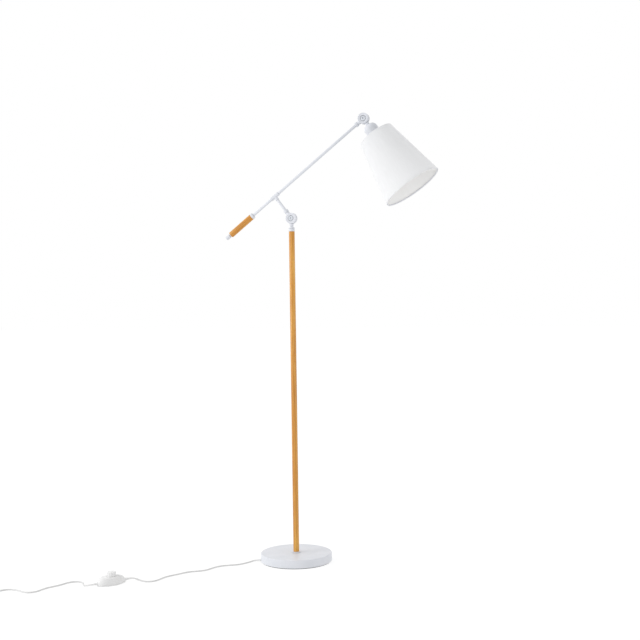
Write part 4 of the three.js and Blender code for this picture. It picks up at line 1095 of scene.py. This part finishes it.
def arcPlaces(centre, height, radius, rise, start, end, steps):
    places = []
    for step in range(steps + 1):
        angle = math.radians(start + (end - start) * step / steps)
        places.append((centre + radius * math.cos(angle), height + rise * math.sin(angle)))
    return places


def makeCup():
    c = cup
    bell = turned("holderCup", [
        (c["bore"], c["top"]),
        (c["collar"], c["top"], 0.5),
        (c["collar"] + 0.6, c["top"] + 1.5, 0.3),
        *arcPlaces(*c["shoulder"], *c["outside"], -90, 0, 14),
        (c["radius"], c["mouth"], 0.5),
        (c["radius"] - c["wall"], c["mouth"], 0.3),
        *arcPlaces(*c["shoulder"], *c["inside"], 0, -90, 10),
        (c["bore"], c["ceiling"]),
    ], sides=80, steps=3)
    dress(moved(bell, headFrame), "head", "white_enamel", ["holder_cup"])


# The lampholder's skirt carries the screw thread that the shade's ring nut runs on.
def makeLampholder():
    h = lampholder
    radius, root, bevel = h["radius"], h["radius"] - h["depth"], 3
    skirt = [(h["bore"], h["top"]), (h["neck"], h["top"], 0.4), (h["neck"], h["shoulder"]),
             (radius - bevel, h["shoulder"], 0.5), (radius, h["shoulder"] + bevel, 0.8),
             (radius, h["threadStart"] - 0.6)]
    for i in range(h["threads"]):
        foot = h["threadStart"] + i * h["pitch"]
        skirt += [(radius, foot), (root, foot + 0.6), (root, foot + 1.0), (radius, foot + 1.6)]
    skirt += [(radius, h["mouth"], 0.7), (h["socket"], h["mouth"], 0.4),
              (h["socket"], h["floor"]), (h["bore"], h["floor"])]
    holder = turned("lampholder", skirt, sides=72, steps=3)
    dress(moved(holder, headFrame), "head", "white_plastic", ["lampholder"])
    foot, rim, top = h["floor"] + 0.3, h["floor"] + 0.8, h["floor"] + 1.9
    contact = turned("lampholderContact", [
        (0, foot), (6, foot, 0.2), (6, rim, 0.3), (2.5, top, 0.4), (0, top),
    ], sides=32, steps=3)
    dress(moved(contact, headFrame), "head", "brass", ["lampholder_contact"])


# A knurled ring: its outline is drawn in between the ribs.
def makeRingNut():
    n = ringNut
    ring = turned("shadeRingNut", [
        (n["bore"], n["start"]), (n["radius"], n["start"], 0.9), (n["radius"], n["end"], 0.9),
        (n["bore"], n["end"]),
    ], sides=n["points"], steps=3)
    apart = math.tau / n["points"]
    pick(ring, "VERT", lambda place, normal: place.xy.length > (n["radius"] - 1.5) * mm
         and round(math.atan2(place.y, place.x) / apart) % 4 in (2, 3))
    bpy.ops.transform.resize(value=(0.962, 0.962, 1), center_override=(0, 0, 0))
    closeMesh()
    dress(moved(ring, headFrame), "head", "white_plastic", ["shade_ring_nut"], 25)


# The shade's wire fitting: a washer that the ring nut clamps, three spokes and the top wire.
def makeShadeFrame():
    w = frameWire
    bore, edge = w["washer"]
    under, over = w["washerHeight"]
    washer = turned("shadeTopFrame", [
        (bore, under), (edge, under, 0.4), (edge, over, 0.4), (bore, over),
    ], sides=72, steps=3)
    circle = [polar(w["topRadius"], i * 3.75, w["topHeight"]) for i in range(96)]
    parts = [tubeAlong("topWire", circle, w["top"] * mm, 12, cyclic=True)]
    for i in range(w["arms"]):
        bearing = (i + 0.5) * 360 / w["arms"]
        spoke = [polar(reach, bearing, height) for reach, height in w["bends"]]
        parts.append(tubeAlong("spoke", spoke, w["spoke"] * mm, 12))
    fitting = joined(washer, *parts)
    dress(moved(fitting, headFrame), "head", "white_enamel", ["shade_top_frame"], 40)


def shadeRadius(height):
    share = (height - shade["start"]) / (shade["end"] - shade["start"])
    return shade["top"] + (shade["mouth"] - shade["top"]) * share


# Gives the shade its own map, in metres: round it and up its slope.
def unrollShade(piece):
    layer = piece.data.uv_layers.new(name="cloth")
    mesh = piece.data
    for face in mesh.polygons:
        turns = []
        for loop in face.loop_indices:
            place = mesh.vertices[mesh.loops[loop].vertex_index].co
            turns.append(math.atan2(place.y, place.x))
        middle = math.atan2(face.center.y, face.center.x)
        for loop, angle in zip(face.loop_indices, turns):
            if angle - middle > math.pi:
                angle -= math.tau
            elif middle - angle > math.pi:
                angle += math.tau
            place = mesh.vertices[mesh.loops[loop].vertex_index].co
            layer.data[loop].uv = (angle * shade["mouth"] * mm, place.z)


# Cloth laminated on a stiff liner, with its hems rolled over the two wires.
def makeShade():
    s = shade
    count = 28
    outer = []
    for i in range(count + 1):
        height = s["start"] + 1.4 + (s["end"] - s["start"] - 2.8) * i / count
        outer.append((shadeRadius(height), height))
    low, high = s["start"], s["end"]
    shell = turned("shadeShell", [
        (shadeRadius(low) - s["wall"], low + 0.8),
        (shadeRadius(low) - s["wall"] * 0.8, low + 0.1),
        (shadeRadius(low) - s["wall"] * 0.35, low),
        (shadeRadius(low), low + 0.5),
        *outer,
        (shadeRadius(high), high - 0.5),
        (shadeRadius(high) - s["wall"] * 0.35, high),
        (shadeRadius(high) - s["wall"] * 0.8, high - 0.1),
        (shadeRadius(high) - s["wall"], high - 0.8),
    ], sides=s["sides"])
    unrollShade(shell)
    shell.data.materials.append(cloth)
    shell.data.materials.append(linerAndPaintedLight)
    # Inner faces take the liner, whose paler tone paints light into the shade's inside; the hems keep the cloth.
    for face in shell.data.polygons:
        inward = face.normal.x * face.center.x + face.normal.y * face.center.y < 0
        middle = low + 4 < face.center.z / mm < high - 4
        face.material_index = 1 if inward and middle else 0
    dress(moved(shell, headFrame), "head", "shade_fabric", ["shade_shell"], 50)
    around = shadeRadius(s["wireHeight"]) - s["wall"] - s["wire"] - 0.3
    circle = [polar(around, i * 3, s["wireHeight"]) for i in range(120)]
    wire = tubeAlong("shadeMouthWire", circle, s["wire"] * mm, 12, cyclic=True)
    dress(moved(wire, headFrame), "head", "white_enamel", ["shade_mouth_wire"], 60)


def makeBulb():
    b = bulb
    crest, root, start, end = b["cap"], b["cap"] - b["depth"], b["capStart"], b["capEnd"]
    cap = [(0, start), (5, start), (7, start + 2, 0.5), (b["neck"], start + 6, 0.5)]
    for i in range(b["threads"]):
        foot = b["threadStart"] + i * b["pitch"]
        cap += [(root, foot), (crest, foot + 0.9), (crest, foot + 1.5), (root, foot + 2.4)]
    cap += [(crest, end - 0.8, 0.3), (crest, end), (0, end)]
    screw = turned("bulbCap", cap, sides=56, steps=3)
    dress(moved(screw, headFrame), "head", "zinc_steel", ["bulb_cap"], 40)
    glass = turned("bulbGlass", [
        (0, b["foot"]), (b["neck"], b["foot"]), (b["neck"] + 0.2, b["foot"] + 3.5),
        (14.1, 107.5), (17.0, 117.5), (20.84, 127.62),  # the flare up to the globe
        *arcPlaces(0, b["centre"], b["radius"], b["radius"], -40, 90, 22),
    ], sides=64, domed=True)
    dress(moved(glass, headFrame), "head", "frosted_glass", ["bulb_glass"], 80)


makeCup()
makeLampholder()
makeRingNut()
makeShadeFrame()
makeShade()
makeBulb()
print("head and shade made")


# The foot switch lies along X of its own frame, with its plug-side nozzle ahead.
switch = {
    # shares by which each end is narrowed and lowered
    "plugEnd": (0.0, 0.08), "baseEnd": (0.64, 0.45),
    "half": (49, 27), "plate": 3, "foot": 3.3, "side": 7, "top": 26,
    "crown": 0.7, "wall": 2,
    "buttonHole": 15.7, "nozzleRoot": 5.2, "nozzleTip": 3.7, "nozzle": (40, 56), "leadWay": 2.7,
    "button": 15, "flange": 16.8, "rim": (21.6, 23.7), "buttonTop": 40.5, "ribs": 12,
}
switchFrame = Matrix.Translation(pedalMiddle) @ turn(pedal["turn"], "Z")


def makeSwitchPlate():
    longHalf, shortHalf = switch["half"]
    plate = turned("switchPlate", [(0, 0), (1, 0, 0.02), (1, switch["plate"]),
                                   (0, switch["plate"])], sides=72, steps=2)
    moved(plate, Matrix.Diagonal((longHalf, shortHalf, 1, 1)))
    easeEnds(plate, longHalf * mm, switch["plate"] * mm)
    pick(plate, "EDGE", lambda place, way: place.z < 0.0001 and abs(way.z) < 0.1)
    bpy.ops.mesh.bevel(offset=0.0006, segments=2, affect="EDGES")
    closeMesh()
    dress(moved(plate, switchFrame), "stand", "white_plastic", ["switch_plate"])


# Narrows a shell and lowers what is above its foot, more and more towards its ends.
def easeEnds(shell, half, foot):
    for point in shell.data.vertices:
        share = min(1, abs(point.co.x) / half)
        narrower, lower = switch["plugEnd"] if point.co.x > 0 else switch["baseEnd"]
        point.co.y *= 1 - narrower * share ** 2
        if point.co.z > foot:
            point.co.z = foot + (point.co.z - foot) * (1 - lower * share ** 4)
    return shell


def makeSwitchCover():
    s = switch
    foot = s["foot"] * mm
    shoulder = 1 - s["crown"]
    scale = Matrix.Diagonal((s["half"][0], s["half"][1], 1, 1))
    inner = Matrix.Diagonal((s["half"][0] - s["wall"], s["half"][1] - s["wall"], 1, 1))
    top, rise = s["top"], s["top"] - s["side"]
    outside = turned("switchCover", [
        (0, s["foot"]), (1, s["foot"]),
        *arcPlaces(s["crown"], s["side"], shoulder, rise, 0, 90, 16),
        (0, top),
    ], sides=96)
    easeEnds(moved(outside, scale), s["half"][0] * mm, foot)
    hollow = turned("hollow", [
        (0, s["foot"] - 1), (1, s["foot"] - 1),
        *arcPlaces(s["crown"], s["side"], shoulder, rise - s["wall"], 0, 90, 12),
        (0, top - s["wall"]),
    ], sides=72)
    easeEnds(moved(hollow, inner), s["half"][0] * mm, foot)
    hole = turned("hole", [(0, 10), (s["buttonHole"], 10), (s["buttonHole"], 40), (0, 40)],
                  sides=72)
    below = addBlock("below", (-90, -40, -20), (90, 40, s["foot"]))
    for side in (0, 180):
        nozzle = turned("nozzle", [
            (0, s["nozzle"][0]), (s["nozzleRoot"], s["nozzle"][0]),
            (4.4, 52, 2.0), (s["nozzleTip"], s["nozzle"][1], 0.5),
            (0, s["nozzle"][1]),
        ], sides=48, steps=4)
        nozzleFrame = turn(side, "Z") @ shift(z=pedal["nozzleHeight"]) @ turn(90, "Y")
        carve(outside, "UNION", moved(nozzle, nozzleFrame))
    way = turned("way", [(0, -60), (s["leadWay"], -60), (s["leadWay"], -30), (0, -30)], sides=32)
    carve(outside, "DIFFERENCE", below, hollow, hole,
          moved(way, shift(z=pedal["nozzleHeight"]) @ turn(90, "Y")))
    dress(moved(outside, switchFrame), "stand", "white_plastic", ["switch_cover"])


def makeSwitchButton():
    s = switch
    foot, rim = s["rim"]
    button = turned("switchButton", [
        (s["button"] - 2.2, foot), (s["flange"], foot, 0.3), (s["flange"], rim, 0.3),
        (s["button"] - 1, rim), (s["button"] - 1, s["buttonTop"] - 2.4),
        (s["button"] - 1, s["buttonTop"], 2.0), (0.02, s["buttonTop"]),
        (0.02, s["buttonTop"] - 2.2), (s["button"] - 2.2, s["buttonTop"] - 2.2),
    ], sides=96, steps=5)
    for i in range(s["ribs"]):
        rib = turned("rib", [(0, rim - 0.5), (1.6, rim - 0.5), (1.6, s["buttonTop"] - 1.0, 0.9),
                             (0, s["buttonTop"] - 1.0)], sides=20, steps=3)
        place = turn(i * 360 / s["ribs"], "Z") @ shift(x=s["button"] - 1.6)
        carve(button, "UNION", moved(rib, place))
    dress(moved(button, switchFrame), "button", "white_plastic", ["switch_button"])


makeSwitchPlate()
makeSwitchCover()
makeSwitchButton()
print("foot switch made")


# A flat two-pin plug in line with the coil's tail, with a tapering neck.
plugSize = {
    "length": 36, "width": 26, "neck": 9, "flare": 20, "thick": 13.6, "corner": 3,
    "edge": 2.4, "sleeve": 9, "sleeveRadius": 3.3, "pin": 2, "pinSpacing": 18.6,
    "pinLength": 19, "socket": 5,
}
plugFrame = (Matrix.Translation(coilMiddle) @ turn(coil["tailTurn"], "Z")
             @ shift(y=plug["lane"], z=plug["axis"]))


def makePlug():
    p = plugSize
    start = plug["start"] + p["sleeve"]
    half, neck = p["width"] / 2, p["neck"] / 2
    side = []
    for i in range(13):
        share = i / 12
        side.append((p["flare"] * share, neck + (half - neck) * share * share * (3 - 2 * share)))
    side += [(p["length"] - p["corner"] + p["corner"] * math.sin(math.radians(a)),
              half - p["corner"] + p["corner"] * math.cos(math.radians(a)))
             for a in range(0, 91, 15)]
    outline = side + [(x, -y) for x, y in reversed(side)]
    clearSelection()
    bpy.ops.mesh.primitive_circle_add(vertices=len(outline), fill_type="NGON")
    body = bpy.context.object
    body.name = "plugBody"
    for point, (x, y) in zip(body.data.vertices, reversed(outline)):
        point.co = ((start + x) * mm, y * mm, -p["thick"] / 2 * mm)
    openMesh(body, "FACE", selected=True)
    bpy.ops.mesh.extrude_region_move(TRANSFORM_OT_translate={"value": (0, 0, p["thick"] * mm)})
    bpy.ops.mesh.select_all(action="SELECT")
    bpy.ops.mesh.normals_make_consistent(inside=False)
    closeMesh()
    level = p["thick"] / 2 * mm
    pick(body, "EDGE", lambda place, way: abs(abs(place.z) - level) < 1e-5 and abs(way.z) < 0.5)
    bpy.ops.mesh.bevel(offset=p["edge"] * mm, segments=4, affect="EDGES")
    closeMesh()
    ribs = [(0, plug["start"]), (p["sleeveRadius"], plug["start"], 0.4)]
    for i in range(3):
        foot = plug["start"] + 1.8 + i * 2.6
        radius = p["sleeveRadius"] + 0.25 * (i + 0.5)
        ribs += [(radius, foot, 0.1), (radius - 0.5, foot + 0.4, 0.1),
                 (radius - 0.5, foot + 1.0, 0.1), (radius + 0.1, foot + 1.4, 0.1)]
    ribs += [(neck - 0.3, start + 4), (0, start + 4)]
    sleeve = turned("sleeve", ribs, sides=32, steps=2)
    carve(body, "UNION", moved(sleeve, turn(90, "Y")))
    face = start + p["length"]
    pins = []
    dimple = turned("dimple", [(0, 5.9), (6, 5.9), (7.5, 7.4), (0, 7.4)], sides=40)
    for over in (1, -1):
        well = copied(dimple, "well")
        place = shift(x=start + 23) @ turn(90 - 90 * over, "X")
        carve(body, "DIFFERENCE", moved(well, place))
    bpy.data.objects.remove(dimple)
    for side in (1, -1):
        offset = side * p["pinSpacing"] / 2
        socket = turned("socket", [(0, face - p["socket"]), (p["pin"] + 0.3, face - p["socket"]),
                                   (p["pin"] + 0.3, face + 2), (0, face + 2)], sides=32)
        carve(body, "DIFFERENCE", moved(socket, shift(y=offset) @ turn(90, "Y")))
        pin = turned("plugPin" + ("Left" if side > 0 else "Right"), [
            (0, face - p["socket"] + 0.3), (p["pin"], face - p["socket"] + 0.3),
            (p["pin"], face + 9.5), (p["pin"] - 0.15, face + 9.7),
            (p["pin"] - 0.15, face + 10.1), (p["pin"], face + 10.3),
            (p["pin"], face + p["pinLength"], 1.2), (0, face + p["pinLength"]),
        ], sides=32, steps=4)
        dress(moved(pin, plugFrame @ shift(y=offset) @ turn(90, "Y")), "stand", "brass",
              ["plug_pin_left" if side > 0 else "plug_pin_right"])
        pins.append(pin)
    dress(moved(body, plugFrame), "stand", "white_plastic", ["plug_body"])
    return [body, *pins]


# A flat band round the coil's turns at one bearing.
tie = {"bearings": (20, 255), "width": 5, "thick": 0.6, "corner": 2.4, "slack": 0.15}


def makeTie(number, bearing):
    t = tie
    across = lead["diameter"] / mm
    inner = coil["diameter"] / 2 - across - t["slack"]
    outer = coil["diameter"] / 2 + across + t["slack"]
    low, high = coil["lift"] - 0.1, coil["lift"] + 3 * across + 0.1
    corner = t["corner"]
    loop = []
    for x, z, start in ((outer - corner, high - corner, 0), (inner + corner, high - corner, 90),
                        (inner + corner, low + corner, 180), (outer - corner, low + corner, 270)):
        for a in range(start, start + 91, 15):
            angle = math.radians(a)
            loop.append((x + corner * math.cos(angle), z + corner * math.sin(angle)))
    clearSelection()
    bpy.ops.mesh.primitive_circle_add(vertices=len(loop), fill_type="NOTHING")
    band = bpy.context.object
    band.name = "coilTie" + str(number)
    for point, (x, z) in zip(band.data.vertices, loop):
        point.co = (x * mm, -t["width"] / 2 * mm, z * mm)
    openMesh(band, "EDGE", selected=True)
    bpy.ops.mesh.extrude_region_move(TRANSFORM_OT_translate={"value": (0, t["width"] * mm, 0)})
    bpy.ops.mesh.select_all(action="SELECT")
    bpy.ops.mesh.normals_make_consistent(inside=False)
    closeMesh()
    middle = sum(face.center.x for face in band.data.polygons) / len(band.data.polygons)
    outward = sum((1 if face.normal.x > 0 else -1) for face in band.data.polygons
                  if face.center.x - middle > (across - 0.1) * mm)
    applied(band, "SOLIDIFY", thickness=t["thick"] * mm, offset=1 if outward > 0 else -1)
    place = Matrix.Translation(coilMiddle) @ turn(bearing, "Z")
    return dress(moved(band, place), "stand", "white_plastic", smooth=40)


plugPieces = makePlug()
ties = [makeTie(number, bearing) for number, bearing in enumerate(tie["bearings"], 1)]
print("plug and ties made")

for part in frame["record"]["subparts"]:
    node = nodes[part["node"]]
    node.data.materials.clear()
    node.data.materials.append(slotFinish[part["material_slot"]])
print("done")
